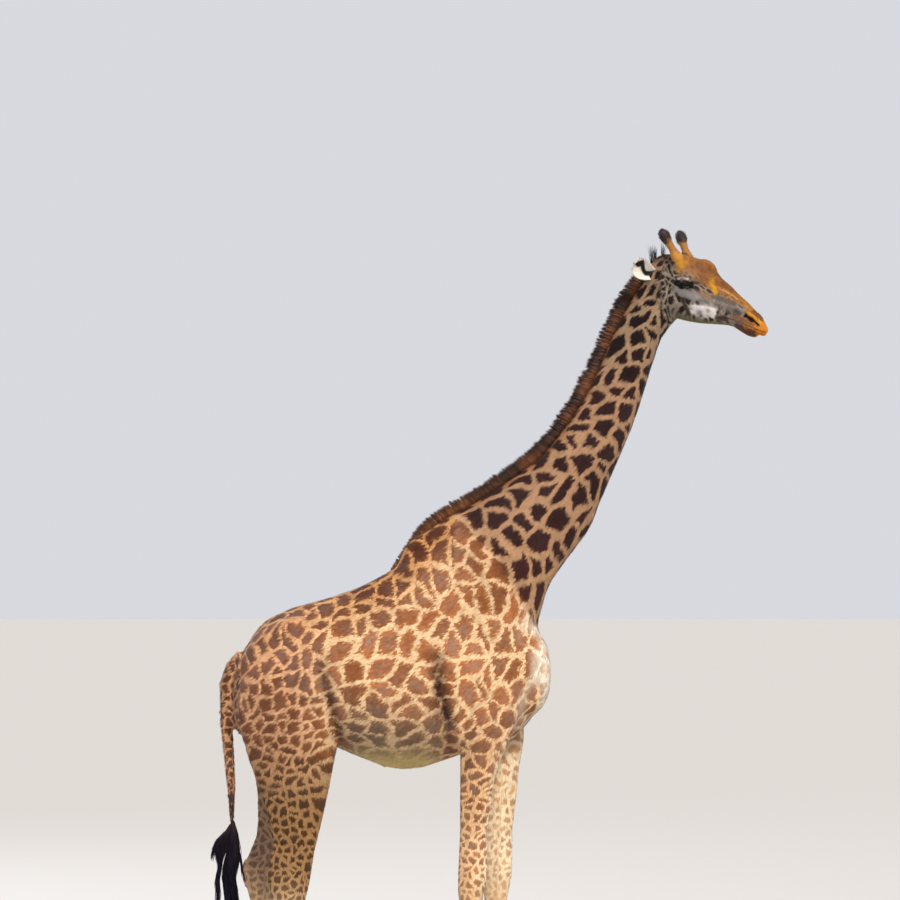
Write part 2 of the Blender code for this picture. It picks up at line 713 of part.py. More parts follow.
def mane_ridge():
    """The crest of stiff hair from the poll to the withers, as a wedge set over the nape:
    nape point, then hair length there."""
    nape = [
        (0.010, 2.570, 0.010),
        (0.080, 2.645, 0.032),
        (0.150, 2.725, 0.048),
        (0.215, 2.795, 0.056),
        (0.290, 2.848, 0.060),
        (0.400, 2.905, 0.060),
        (0.515, 2.975, 0.060),
        (0.655, 3.070, 0.064),
        (0.784, 3.165, 0.066),
        (0.895, 3.295, 0.066),
        (1.003, 3.455, 0.066),
        (1.083, 3.615, 0.066),
        (1.160, 3.800, 0.066),
        (1.240, 3.960, 0.066),
        (1.300, 4.060, 0.062),
        (1.345, 4.120, 0.045),
    ]
    rows = smooth_rows(nape, 3)
    along = np.gradient(rows[:, :2], axis=0)
    along /= np.linalg.norm(along, axis=1)[:, None]
    outward = np.stack([-along[:, 1], along[:, 0]], axis=1)
    rings = []
    for (x, z, hair), out in zip(rows, outward):
        crest = np.array([x, z]) + out * hair
        foot = np.array([x, z]) - out * MANE_SUNK
        shoulder = np.array([x, z]) + out * hair * MANE_SHOULDER
        rings.append(
            [
                Vector((foot[0], -MANE_HALF_FOOT, foot[1])),
                Vector((foot[0], MANE_HALF_FOOT, foot[1])),
                Vector((shoulder[0], MANE_HALF_CREST * 1.3, shoulder[1])),
                Vector((crest[0], MANE_HALF_CREST * 0.5, crest[1])),
                Vector((crest[0], -MANE_HALF_CREST * 0.5, crest[1])),
                Vector((shoulder[0], -MANE_HALF_CREST * 1.3, shoulder[1])),
            ]
        )
    return loft("mane", rings)


def tuft():
    """The long black hair at the tail's end, as one hanging lock shape."""
    lock = [
        (-0.816, 1.245, 0.021),
        (-0.826, 1.180, 0.042),
        (-0.848, 1.090, 0.068),
        (-0.858, 0.980, 0.072),
        (-0.856, 0.860, 0.064),
        (-0.850, 0.740, 0.052),
        (-0.842, 0.640, 0.034),
        (-0.838, 0.580, 0.010),
    ]
    return path_tube("tuft", lock, TUFT_FLATNESS, SMALL_RING_POINTS, SMALL_RINGS_PER_STATION)


def eyeball(side):
    shape = bmesh.new()
    bmesh.ops.create_uvsphere(shape, u_segments=SMALL_RING_POINTS, v_segments=9, radius=EYE_RADIUS)
    place = Vector((EYE_PLACE.x, side * EYE_PLACE.y, EYE_PLACE.z))
    bmesh.ops.transform(shape, matrix=HEAD_FRAME @ Matrix.Translation(place), verts=shape.verts)
    return finished("eye", shape)


# ---------------------------------------------------------------- parting the body


def slab(name, point, tilt, half_length, half_width):
    """A thin plate through a point, tipped about Y."""
    frame = cut_frame(point, tilt)
    return box_cutter(name, (-half_length, -half_width, -CUT / 2), (half_length, half_width, CUT / 2), frame)


def cut_frame(point, tilt):
    return Matrix.Translation(point) @ Matrix.Rotation(math.radians(tilt), 4, "Y")


def beyond(point, tilt, way, distance):
    """Everything that lies further than a distance above (way 1) or below (way -1) a cut."""
    low, high = sorted((way * distance, way * 6.0))
    return box_cutter("beyond", (-6, -1, low), (6, 1, high), cut_frame(point, tilt))


def cut_away(obj, cutter):
    """Takes the cutter's space out of obj, and removes the cutter."""
    boolean(obj, cutter)
    bpy.data.objects.remove(cutter, do_unlink=True)


def cut_sockets(head):
    """Sockets that hold the eyeballs, each open to the outside between the lids."""
    for sign in SIDES.values():
        ball = eyeball(sign)
        cut_away(head, grown(ball, "socket", GAP))
        bpy.data.objects.remove(ball, do_unlink=True)
        front = Vector((EYE_PLACE.x, sign * (EYE_PLACE.y + EYE_RADIUS), EYE_PLACE.z))
        cut_away(head, ellipsoid("slit", front, EYE_SLIT, 4, 0, HEAD_FRAME))


def cut_coronets(body):
    """Sloping ends to the legs, over the hooves."""
    for _, sign, middle in feet():
        place = coronet_frame(middle, sign * FOOT_OUT)
        cut_away(body, box_cutter("below_coronet", (-0.3, -0.14, -0.3), (0.3, 0.14, GAP / 2), place))


def coarse_body(body):
    """The head and the rest with far fewer triangles each. Each is cut off a little past the real cut,
    thinned, and then cut to size, so that the head keeps more triangles and the cut stays clean."""
    pieces = []
    for name, way, triangles in (("rest", 1, BODY_TRIANGLES), ("head", -1, HEAD_TRIANGLES)):
        piece = copy_of(body, name)
        cut_away(piece, beyond(*HEAD_CUT, way, CUT_MARGIN))
        decimate(piece, triangles)
        cut_away(piece, beyond(*HEAD_CUT, way, -CUT / 2))
        pieces.append(piece)
    bpy.data.objects.remove(body, do_unlink=True)
    return pieces


def part_body(body):
    """Cuts the body by thin plates into its named sub-parts, and returns them by name."""
    cut_away(body, slab("cut_neck", *NECK_CUT, 0.62, 0.6))
    tail = copy_of(body, "body_again")
    low, high = (-0.4, -TAIL_HALF_WIDTH, -0.4), (1.0, TAIL_HALF_WIDTH, 0)
    space = box_cutter("tail_space", low, high, cut_frame(*TAIL_CUT))
    boolean(tail, space, "INTERSECT")
    grown_space = grown(space, "tail_room", CUT)
    bpy.data.objects.remove(space, do_unlink=True)
    cut_away(body, grown_space)
    for sign in SIDES.values():
        inner, outer = sorted((sign * LEG_CUT_INNER, sign * LEG_CUT_OUTER))
        for back, front, height in (FORE_CUT, HIND_CUT):
            low, high = (back, inner, height - CUT / 2), (front, outer, height + CUT / 2)
            cut_away(body, box_cutter("cut_leg", low, high))
    return pieces_of(body) + pieces_of(tail)[:1]


def pieces_of(obj):
    """The separate pieces of a mesh, as objects, largest first. Crumbs that a cut leaves are dropped."""
    shape = bmesh.new()
    shape.from_mesh(obj.data)
    left = set(shape.verts)
    groups = []
    while left:
        todo = [left.pop()]
        group = set(todo)
        while todo:
            for edge in todo.pop().link_edges:
                for vertex in edge.verts:
                    if vertex in left:
                        left.discard(vertex)
                        group.add(vertex)
                        todo.append(vertex)
        groups.append(sorted(v.index for v in group))
    shape.free()
    found = []
    for group in sorted(groups, key=len, reverse=True):
        if len(group) < CRUMB:
            continue
        piece = bmesh.new()
        piece.from_mesh(obj.data)
        piece.verts.ensure_lookup_table()
        kept = set(group)
        bmesh.ops.delete(piece, geom=[v for v in piece.verts if v.index not in kept], context="VERTS")
        found.append(finished("piece", piece))
    return found


def seated(piece, *hosts):
    """The piece with whatever lies inside its hosts cut away, leaving a thin gap all round them."""
    for host in hosts:
        cut_away(piece, grown(host, "host", SEAT_GAP))
    largest = pieces_of(piece)[0]
    bpy.data.objects.remove(piece, do_unlink=True)
    return largest


def nearest(pieces, point):
    """Takes from the list the piece whose box's middle is nearest to the point."""

    def distance(obj):
        corners = [Vector(c) for c in obj.bound_box]
        return (sum(corners, Vector()) / 8 - Vector(point)).length

    found = min(pieces, key=distance)
    pieces.remove(found)
    return found


def build():
    rest, head = coarse_body(whole_body())
    cut_sockets(head)
    cut_coronets(rest)

    seat = [head, rest]
    mane = seated(mane_ridge(), *seat)
    horns = {side: seated(horn(sign), head) for side, sign in SIDES.items()}
    ears = {side: seated(ear(sign), head, mane) for side, sign in SIDES.items()}
    tail_tuft = seated(tuft(), rest)

    pieces = part_body(rest)
    keep(nearest(pieces, (0.0, 0, 2.1)), "trunk", "coat")
    keep(nearest(pieces, (1.0, 0, 3.3)), "neck", "coat")
    keep(nearest(pieces, (-0.84, 0, 1.6)), "tail", "coat")
    for name, sign, middle in feet():
        keep(nearest(pieces, (middle, sign * FOOT_OUT, 0.8)), name, "legs")
        for claw, claw_side in (("outer", sign), ("inner", -sign)):
            made = hoof("hoof", middle, sign * FOOT_OUT, claw_side)
            keep(made, f"hoof_{name}_{claw}", "hooves")
    keep(head, "head", "face")
    keep(mane, "mane", "mane")
    keep(tail_tuft, "tail_tuft", "tail_tuft")
    for side, sign in SIDES.items():
        keep(horns[side], f"horn_{side}", "horns")
        keep(ears[side], f"ear_{side}", "ears")
        keep(eyeball(sign), f"eye_{side}", "eyes")
    for left_over in list(HELPERS.objects):
        bpy.data.objects.remove(left_over, do_unlink=True)
    put_origin_under_the_middle()


def put_origin_under_the_middle():
    """Moves everything level, so that the zero on the floor is under the middle of the model's box."""
    corners = [Vector(corner) for obj in GIRAFFE.objects for corner in obj.bound_box]
    middle = [(min(c[k] for c in corners) + max(c[k] for c in corners)) / 2 for k in range(2)]
    for obj in GIRAFFE.objects:
        obj.data.transform(Matrix.Translation((-middle[0], -middle[1], 0)))


clear_scene()
HELPERS = new_collection("helpers")
GIRAFFE = new_collection("giraffe")
build()
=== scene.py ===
# %% [markdown]
# # A Masai giraffe, life-size
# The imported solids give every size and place: head, neck, trunk, tail, legs, ears, horns, eyes, hooves,
# mane and tail tuft. This lesson grows one skin over the fleshy solids, moulds the face and folds into it,
# works out the coat's markings, and then sets hair over it. It begins by loading the solids as a fixed
# frame, whose box the finished animal has to keep to.

# %% Load the solids
import math

import bpy
import numpy as np
from mathutils import Matrix, Vector, noise
from mathutils.bvhtree import BVHTree


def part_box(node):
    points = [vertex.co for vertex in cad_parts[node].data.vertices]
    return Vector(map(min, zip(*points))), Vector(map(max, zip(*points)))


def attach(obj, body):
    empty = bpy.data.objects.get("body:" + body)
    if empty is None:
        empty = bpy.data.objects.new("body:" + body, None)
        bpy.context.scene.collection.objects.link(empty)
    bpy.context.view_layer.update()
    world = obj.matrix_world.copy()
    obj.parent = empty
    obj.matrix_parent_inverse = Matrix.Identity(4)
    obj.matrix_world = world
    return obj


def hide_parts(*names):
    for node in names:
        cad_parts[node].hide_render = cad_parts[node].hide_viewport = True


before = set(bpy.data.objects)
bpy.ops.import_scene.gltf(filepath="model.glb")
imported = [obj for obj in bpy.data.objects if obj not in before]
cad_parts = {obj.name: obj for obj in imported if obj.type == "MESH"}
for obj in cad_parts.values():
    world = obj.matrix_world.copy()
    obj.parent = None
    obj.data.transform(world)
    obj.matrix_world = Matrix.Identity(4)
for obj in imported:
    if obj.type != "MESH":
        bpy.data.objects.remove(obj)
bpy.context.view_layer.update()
BELLY_X = -0.5155  # the point on the floor under the belly, which the lengths below are measured from
SIDES = {"left": 1, "right": -1}

# %% [markdown]
# Colours are written as sRGB hex values, as paint charts give them, and one function turns them to the
# linear values that Blender's shaders work in. Another small function adds a shader node with its
# settings and links in one line, which keeps each material short enough to read as a recipe. A value that
# is the same all over a finish is set on the shader itself.


# %% Colours and shader nodes
def linear(hex_colour):
    """A hex colour as linear red, green and blue."""
    channels = [int(hex_colour[i : i + 2], 16) / 255 for i in (1, 3, 5)]
    return np.array([c / 12.92 if c <= 0.04045 else ((c + 0.055) / 1.055) ** 2.4 for c in channels])


def connect(node, **links):
    """Gives a node's inputs a value each, or joins them to a socket or to another node's first output.
    An input's name is written with _ for a space, and a number after i means its place in the list."""
    for name, value in links.items():
        place = int(name[1:]) if name[0] == "i" and name[1:].isdigit() else name.replace("_", " ")
        if isinstance(value, bpy.types.Node):
            value = value.outputs[0]
        if isinstance(value, bpy.types.NodeSocket):
            node.id_data.links.new(value, node.inputs[place])
        else:
            node.inputs[place].default_value = value
    return node


def add_node(material, kind, settings=None, **links):
    """A node of a kind. Settings name its properties, and links its inputs."""
    node = material.node_tree.nodes.new("ShaderNode" + kind)
    for name, value in (settings or {}).items():
        setattr(node, name, value)
    return connect(node, **links)


def new_material(name, **values):
    """A material and its Principled shader, with values that are the same all over."""
    material = bpy.data.materials.new(name)
    material.use_nodes = True
    return material, connect(material.node_tree.nodes["Principled BSDF"], **values)


# %% [markdown]
# The animal is seen from its right side, from far away and from about chest height, so it is drawn almost
# without perspective. The floor is a plain pale disc. A soft sun high in front of its right side lights it,
# and a big lamp and a pale world keep the far side from going black.

# %% Camera, floor and lights
CAMERA_PLACE, CAMERA_AIM = Vector((-0.2015, -25.0, 2.96)), Vector((-0.2015, 0.0, 3.199))
camera_data = bpy.data.cameras.new("camera")
camera = bpy.data.objects.new("camera", camera_data)
bpy.context.scene.collection.objects.link(camera)
bpy.context.scene.camera = camera
camera.location = CAMERA_PLACE
camera.rotation_euler = (CAMERA_AIM - CAMERA_PLACE).to_track_quat("-Z", "Y").to_euler()
camera_data.sensor_width = 36
camera_data.lens = 191
camera_data.clip_end = 400

bpy.ops.mesh.primitive_circle_add(vertices=96, radius=90, fill_type="NGON", location=(0, 0, 0))
floor = bpy.context.object
floor.name = "floor"
# A matt painted floor: no gloss, so only soft shadows show on it.
floor_paint, _ = new_material("painted_studio_floor", Roughness=0.9, Base_Color=(*linear("#c8c6c3"), 1))
floor.data.materials.append(floor_paint)

world = bpy.data.worlds.new("pale_studio")
bpy.context.scene.world = world
world.use_nodes = True
connect(world.node_tree.nodes["Background"], Color=(*linear("#eef0f6"), 1), Strength=0.80)
bpy.context.scene.view_settings.view_transform = "Standard"


def add_light(name, kind, power, colour, place, way, **settings):
    """A light at a place, that shines a way."""
    light = bpy.data.lights.new(name, kind)
    light.energy, light.color = power, linear(colour)
    for setting, value in settings.items():
        setattr(light, setting, value)
    obj = bpy.data.objects.new(name, light)
    obj.location = place
    obj.rotation_euler = way.to_track_quat("-Z", "Y").to_euler()
    bpy.context.scene.collection.objects.link(obj)


LAMP_PLACE, SHOULDER = Vector((-9.0, 10.0, 9.0)), Vector((-0.2, 0, 2.4))
add_light("key_sun", "SUN", 2.9, "#fff4e4", (0, 0, 0), Vector((-5.2, 15.0, -13.5)), angle=math.radians(10))
add_light("fill_lamp", "AREA", 700, "#eef3ff", LAMP_PLACE, SHOULDER - LAMP_PLACE, size=7.0)
print("camera", tuple(round(v, 3) for v in camera.location), "lens", camera_data.lens)

# %% [markdown]
# The face is measured in the head's own frame, which makes it as easy to mould as if it were straight:
# a runs forward along the head, b to its left and c up. The eyes' boxes give its place and its turn to the
# right, and it points down by a fixed angle.

# %% The head's frame
HEAD_PITCH = math.radians(27)
EYE_AT = Vector((0.237, 0.082, 0.049))  # the left eye's middle in the head's frame
EYE_RADIUS = 0.025
eye_middles = {side: sum(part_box(f"eye_{side}"), Vector()) / 2 for side in SIDES}
to_left = (eye_middles["left"] - eye_middles["right"]).normalized()
level = Vector((to_left.y, -to_left.x, 0))
to_front = level * math.cos(HEAD_PITCH) - Vector((0, 0, math.sin(HEAD_PITCH)))
to_top = level * math.sin(HEAD_PITCH) + Vector((0, 0, math.cos(HEAD_PITCH)))
poll = (eye_middles["left"] + eye_middles["right"]) / 2 - to_front * EYE_AT.x - to_top * EYE_AT.z
HEAD_AXES = np.array([to_front, to_left, to_top])
POLL = np.array(poll)
HEAD = Matrix((to_front, to_left, to_top)).transposed().to_4x4()
HEAD.translation = poll


def in_head(points):
    """Points in the head's frame, as rows of a, b, c."""
    return (points - POLL) @ HEAD_AXES.T


def out_of_head(points):
    """And back again."""
    return points @ HEAD_AXES + POLL


print("poll at", np.round(POLL, 3), "yaw", round(math.degrees(math.atan2(level.y, level.x)), 1))

# %% [markdown]
# One skin covers head, neck, trunk, tail and legs, so no seam shows where the solids part. It could be
# modelled by subdividing each solid, but their cuts would then open up. Instead copies of the solids are
# puffed out by less than a millimetre until they overlap, joined, and remeshed into one surface. The eyes
# are joined in too, which shuts the sockets until the lids are moulded.

# %% One surface over the fleshy solids
FLESH = ["head", "neck", "trunk", "tail", *(f"{leg}_{side}" for leg in ("foreleg", "hindleg") for side in SIDES)]
SKIN_GRAIN = 0.0125


def only(*objects):
    """Selects these objects and no others, and makes the first the active one."""
    bpy.ops.object.select_all(action="DESELECT")
    for obj in objects:
        obj.select_set(True)
    bpy.context.view_layer.objects.active = objects[0]


def on_whole_mesh(obj, operator, **settings):
    """Runs a mesh operator on all of an object, in edit mode."""
    only(obj)
    bpy.ops.object.mode_set(mode="EDIT")
    bpy.ops.mesh.select_all(action="SELECT")
    operator(**settings)
    bpy.ops.object.mode_set(mode="OBJECT")


def copy_of_solid(node):
    """A free copy of a solid, with its loose triangles merged into one closed mesh."""
    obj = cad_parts[node].copy()
    obj.data = obj.data.copy()
    obj.parent = None
    for key in [k for k in obj.keys() if k.startswith("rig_")]:
        del obj[key]
    bpy.context.scene.collection.objects.link(obj)
    obj.data.materials.clear()
    on_whole_mesh(obj, bpy.ops.mesh.remove_doubles, threshold=0.00005)
    return obj


def apply_modifier(obj, kind, **settings):
    """Adds a modifier with its settings and applies it."""
    only(obj)
    made = obj.modifiers.new(kind.lower(), kind)
    for name, value in settings.items():
        setattr(made, name, value)
    bpy.ops.object.modifier_apply(modifier=made.name)


def rows_of(items, what, width, kind=float):
    """One value of every item of a mesh, such as its vertices' co, as rows."""
    flat = np.empty(len(items) * width, kind)
    items.foreach_get(what, flat)
    return flat.reshape(-1, width)


def places_of(obj):
    return rows_of(obj.data.vertices, "co", 3)


def normals_of(obj):
    return rows_of(obj.data.vertices, "normal", 3)


def edges_of(obj):
    """The two ends of each edge."""
    return rows_of(obj.data.edges, "vertices", 2, int).T


def move_to(obj, points):
    obj.data.vertices.foreach_set("co", points.ravel())
    obj.data.update()


solid_copies = [copy_of_solid(node) for node in FLESH + ["eye_left", "eye_right"]]
only(*solid_copies)
bpy.ops.object.join()
skin = bpy.context.object
skin.name = skin.data.name = "skin"
guide = skin.copy()  # the solids' own surface, kept to measure from
guide.data = skin.data.copy()
apply_modifier(skin, "DISPLACE", strength=0.0012, mid_level=0.0)
apply_modifier(skin, "REMESH", mode="VOXEL", voxel_size=SKIN_GRAIN)
print("skin:", len(skin.data.vertices), "vertices")

# %% [markdown]
# The solids are faceted, with flat triangles up to 8 cm wide on the trunk, and living skin isn't. Each
# vertex is drawn again and again towards the mean of its neighbours, and what that takes off the size is
# put back twice, so only the facets go. The trunk and neck are smoothed most. The head, lower legs and
# tail have small forms and finer facets, so they are smoothed little and stay on the solids.


# %% Smooth away the facets
def smooth_step(low, high, value):
    """0 below low and 1 above high, with a soft change between."""
    t = np.clip((value - low) / (high - low), 0, 1)
    return t * t * (3 - 2 * t)


def fall(low, high, value):
    """The other way round: 1 below low and 0 above high."""
    return 1 - smooth_step(low, high, value)


def bell(value):
    """1 at 0, and nothing from about 2 on."""
    return np.exp(-(value**2))


def relaxed(points, one, other, rounds, strength):
    """The points after rounds of moving each towards the mean of its neighbours."""
    count = len(points)
    neighbours = np.maximum(np.bincount(one, minlength=count) + np.bincount(other, minlength=count), 1)
    for _ in range(rounds):
        total = np.column_stack([
            np.bincount(one, column[other], count) + np.bincount(other, column[one], count) for column in points.T
        ])
        points = points + (0.6 * strength / neighbours)[:, None] * (total - neighbours[:, None] * points)
    return points


def smoothed(obj, rounds, strength, put_back=2):
    """The vertices smoothed, with the size that smoothing takes off put back."""
    start = places_of(obj)
    ends = edges_of(obj)
    points = relaxed(start, *ends, rounds, strength)
    for _ in range(put_back):
        points = points + relaxed(start - points, *ends, rounds, strength)
    return points


places = places_of(skin)
body_share = smooth_step(1.55, 1.80, places[:, 2]) * fall(3.72, 3.86, places[:, 2])
body_share *= smooth_step(-1.34, -1.26, places[:, 0])
move_to(skin, smoothed(skin, 40, 0.12 + 0.88 * body_share))


def tree_of(obj):
    """A search tree of the object's faces."""
    return BVHTree.FromPolygons([v.co for v in obj.data.vertices], [p.vertices for p in obj.data.polygons])


guide_tree = tree_of(guide)


def held_to_solids(points, share):
    """The points drawn onto the solids' surface by a share of the way."""
    points = points.copy()
    for i in np.nonzero(share > 0.01)[0]:
        found = guide_tree.find_nearest(Vector(points[i]))[0]
        points[i] += share[i] * (np.array(found) - points[i])
    return points


places = places_of(skin)
move_to(skin, held_to_solids(places, (1 - body_share) * 0.9))
move_to(skin, smoothed(skin, 4, 0.15 + 0.5 * body_share, 1))

# %% [markdown]
# The face needs far smaller faces than the barrel. The body's faces are first thinned out to two in five.
# The head's are cut in three both ways, which makes them 4 mm wide, those round the eyes, nostrils and
# lips once more, and the tail's in two. All of it is drawn back onto the solids and then relaxed a little,
# to round off what the cuts left flat.


# %% Finer faces where the forms are small
def select_where(chosen):
    """Selects the faces whose middles the function chosen picks from rows of points, in edit mode."""
    mesh = skin.data
    picked = chosen(rows_of(mesh.polygons, "center", 3))
    only(skin)
    bpy.ops.object.mode_set(mode="EDIT")
    bpy.ops.mesh.select_mode(type="FACE")
    bpy.ops.mesh.select_all(action="DESELECT")
    bpy.ops.object.mode_set(mode="OBJECT")
    mesh.polygons.foreach_set("select", picked)
    bpy.ops.object.mode_set(mode="EDIT")


def subdivide_where(chosen, cuts):
    select_where(chosen)
    bpy.ops.mesh.subdivide(number_cuts=cuts, smoothness=0.0)
    bpy.ops.object.mode_set(mode="OBJECT")


HEAD_LOW = 3.6  # no part of the head is lower
TAIL_X = -1.275  # and the tail hangs behind this


def past_ears(points):
    """How far in front of a line from the ear's root to the corner of the jaw."""
    a, b, c = in_head(points).T
    return 0.895 * a + 0.446 * c


def is_head(points):
    return (points[:, 2] > HEAD_LOW) & (past_ears(points) > 0.05)


def is_detail(points):
    """Round the eyes, the nostrils and the lips."""
    a, b, c = in_head(points).T
    eye = (np.abs(a - EYE_AT.x) < 0.046) & (np.abs(c - EYE_AT.z) < 0.036) & (np.abs(b) > 0.05)
    lips = (a > 0.50) & (np.abs(c + 0.055 - 0.095 * a) < 0.020)
    nostril = (a > 0.585) & (a < 0.71) & (c > 0.01) & (c < 0.068)
    return (points[:, 2] > HEAD_LOW) & (eye | lips | nostril)


def is_tail(points):
    return points[:, 0] < TAIL_X


def is_broad(points):
    """The trunk, the neck and the legs above the feet."""
    z = points[:, 2]
    return ~is_tail(points) & ((z < HEAD_LOW) | (in_head(points)[:, 0] < -0.05)) & (z > 0.15)


select_where(is_broad)
bpy.ops.mesh.decimate(ratio=0.42)
bpy.ops.object.mode_set(mode="OBJECT")
print("skin:", len(skin.data.vertices), "vertices after thinning")
subdivide_where(is_tail, 1)
subdivide_where(is_head, 2)
subdivide_where(is_detail, 1)
places = places_of(skin)
fine_share = (is_head(places) | is_tail(places)).astype(float)
move_to(skin, held_to_solids(places, fine_share))
move_to(skin, smoothed(skin, 14, 0.02 + 0.6 * fine_share * (places[:, 2] > HEAD_LOW), 1))
skin.data.calc_loop_triangles()
print("skin:", len(skin.data.vertices), "vertices,", len(skin.data.loop_triangles), "triangles after finer cuts")

# The skin lies inside the solids by the depth of the coat over it.
COAT_DEPTH, FACE_COAT_DEPTH = 0.004, 0.002
depth = np.where(is_head(places_of(skin)), FACE_COAT_DEPTH, COAT_DEPTH)
move_to(skin, places_of(skin) - depth[:, None] * normals_of(skin))

# %% [markdown]
# The solids have the face's large forms only. Lids, lips, nostrils, veins and the folds where legs meet
# the body are moulded in now, as a sculptor would with a loop tool and a thumb: each is a stroke along a
# path, seen from the side, that raises or lowers the skin, on both sides at once. Strokes could be cut as
# solids, but skin has no sharp edges.

# %% Mould the strokes
def path_distance(spots, path):
    """How far flat spots are from a path."""
    path = np.atleast_2d(np.array(path, float))
    nearest = np.full(len(spots), 1e9)
    for start, end in zip(path, path[1:] if len(path) > 1 else path):
        way = end - start
        reach = np.clip(((spots - start) @ way) / max(way @ way, 1e-12), 0, 1)
        nearest = np.minimum(nearest, np.linalg.norm(spots - start - reach[:, None] * way, axis=1))
    return nearest


# Each stroke is a path, its radius and how far it raises the skin. Those of the face are in (a, c).
MOUTH = [(0.485, -0.027), (0.540, -0.018), (0.600, -0.008), (0.660, -0.003), (0.780, 0.003)]
FACE_STROKES = [
    ([(0.30, -0.002), (0.38, 0.010), (0.46, 0.028)], 0.012, 0.0035),  # the ridge of the cheekbone
    ([(0.33, -0.024), (0.42, -0.010), (0.50, 0.008)], 0.010, -0.0030),
    ([(0.34, -0.055), (0.41, -0.035)], 0.028, 0.0030),  # the cheek
    ([(0.20, -0.070), (0.26, -0.090)], 0.045, 0.0040),  # the jaw's muscle
    ([(0.150, -0.020), (0.165, -0.090), (0.185, -0.150)], 0.012, -0.0045),
    ([(0.384, 0.098), (0.440, 0.094), (0.504, 0.094)], 0.0045, 0.0022),  # veins
    ([(0.350, 0.060), (0.400, 0.044), (0.450, 0.052), (0.520, 0.064)], 0.0045, 0.0014),
    ([(0.190, 0.098), (0.250, 0.116), (0.300, 0.112)], 0.013, 0.0030),  # the brow
    ([(0.165, 0.088), (0.150, 0.060)], 0.014, -0.0035),
    ([(0.455, -0.048), (0.500, -0.030)], 0.010, -0.0030),
    ([(0.600, 0.058), (0.645, 0.053), (0.690, 0.040)], 0.0055, 0.0032),  # the nostril's rim
    ([(0.606, 0.038), (0.640, 0.035), (0.678, 0.024)], 0.0050, -0.0130),
    ([(0.600, 0.020), (0.650, 0.016), (0.690, 0.008)], 0.007, 0.0015),
]
# Those of the body are in lengths along it and heights.
BODY_STROKES = [
    ([(0.262, 2.10), (0.275, 2.00), (0.290, 1.90), (0.317, 1.78)], 0.024, -0.022),  # behind the elbow
    ([(0.320, 2.05), (0.345, 1.85), (0.360, 1.72)], 0.035, 0.010),
    ([(-0.356, 2.13), (-0.320, 1.92), (-0.258, 1.71), (-0.220, 1.62)], 0.030, -0.014),  # the flank
    ([(-0.430, 2.05), (-0.345, 1.76)], 0.050, 0.006),
    ([(0.40, 2.70), (0.50, 2.58), (0.56, 2.45), (0.60, 2.30)], 0.030, 0.009),  # the shoulder blade
    ([(0.50, 2.72), (0.61, 2.58), (0.68, 2.42)], 0.032, -0.009),
    ([(1.20, 3.75), (1.02, 3.30), (0.86, 2.90), (0.74, 2.55)], 0.028, -0.008),  # the neck's furrow
    ([(1.12, 3.85), (0.93, 3.35), (0.75, 2.95), (0.60, 2.70)], 0.050, 0.006),
    ([(-0.52, 2.27)], 0.050, 0.008),  # hip, stifle, elbow and point of the shoulder
    ([(-0.36, 1.60)], 0.055, 0.007),
    ([(0.33, 1.68)], 0.035, 0.007),
    ([(0.74, 2.02)], 0.060, 0.008),
    *(([(0.14 - 0.08 * k, 2.34), (0.09 - 0.085 * k, 1.88)], 0.020, 0.003) for k in range(6)),  # ribs
]


def stroked(spots, share, strokes):
    """How far a set of strokes raises the skin, at flat spots that take a share of them."""
    return sum(share * height * bell(path_distance(spots, path) / radius) for path, radius, height in strokes)


places, normals = places_of(skin), normals_of(skin)
a, b, c = in_head(places).T
from_side = np.stack([a, c], axis=1)
on_head = is_head(places)
sideways = smooth_step(0.15, 0.50, np.abs(normals @ HEAD_AXES[1])) * on_head
raised = stroked(from_side, sideways, FACE_STROKES)
mouth_away = path_distance(from_side, MOUTH)
horn_foot = np.hypot(a - 0.142, np.hypot(np.abs(b) - 0.050, (c - 0.112) * 0.7))
raised += on_head * 0.006 * bell((horn_foot / 0.036) ** 2)  # the skin runs up on to the horns
raised += on_head * (0.0020 * bell(mouth_away / 0.011) - 0.0065 * bell(mouth_away / 0.0036))
outer = smooth_step(0.15, 0.50, normals[:, 1] * np.sign(places[:, 1])) * ~on_head
raised += stroked(places[:, [0, 2]] - [BELLY_X, 0], outer, BODY_STROKES)
raised += 0.007 * fall(0.12, 0.17, places[:, 2])  # the pasterns widen onto the hooves
raised += 0.006 * is_tail(places) * fall(1.35, 1.80, places[:, 2])  # the dock stays thick
move_to(skin, places + raised[:, None] * normals)
print("strokes moulded: from", round(raised.min() * 1000, 1), "to", round(raised.max() * 1000, 1), "mm")

# %% [markdown]
# Each eye looks through an almond slit, 6 cm long, that rises towards the nose. The skin inside the slit
# is pressed behind the eyeball, and the skin round it lies on the ball as lids: the upper one is thicker
# and hangs further over. A crease follows each lid. Vertices beside the slit's edge are moved onto it, so
# that the rim is clean. Cutting a hole would do as well, but then the skin's inner side would show.

# %% Mould the lids
SLIT_TILT = math.radians(21)
SLIT_HALF, SLIT_HIGH = 0.030, 0.0125


def eye_frame(a, b, c, sign):
    """Places about an eye: along its slit, across it, and outwards."""
    u = math.cos(SLIT_TILT) * (a - EYE_AT.x) + math.sin(SLIT_TILT) * (c - EYE_AT.z)
    v = math.cos(SLIT_TILT) * (c - EYE_AT.z) - math.sin(SLIT_TILT) * (a - EYE_AT.x)
    return u, v, sign * b - EYE_AT.y


def out_of_eye(u, v, out, sign):
    """And back to a, b and c."""
    a = EYE_AT.x + math.cos(SLIT_TILT) * u - math.sin(SLIT_TILT) * v
    c = EYE_AT.z + math.sin(SLIT_TILT) * u + math.cos(SLIT_TILT) * v
    return a, sign * (out + EYE_AT.y), c


def lid_height(u):
    return SLIT_HIGH * (1 - np.clip(np.abs(u) / SLIT_HALF, 0, 1) ** 2) ** 0.8


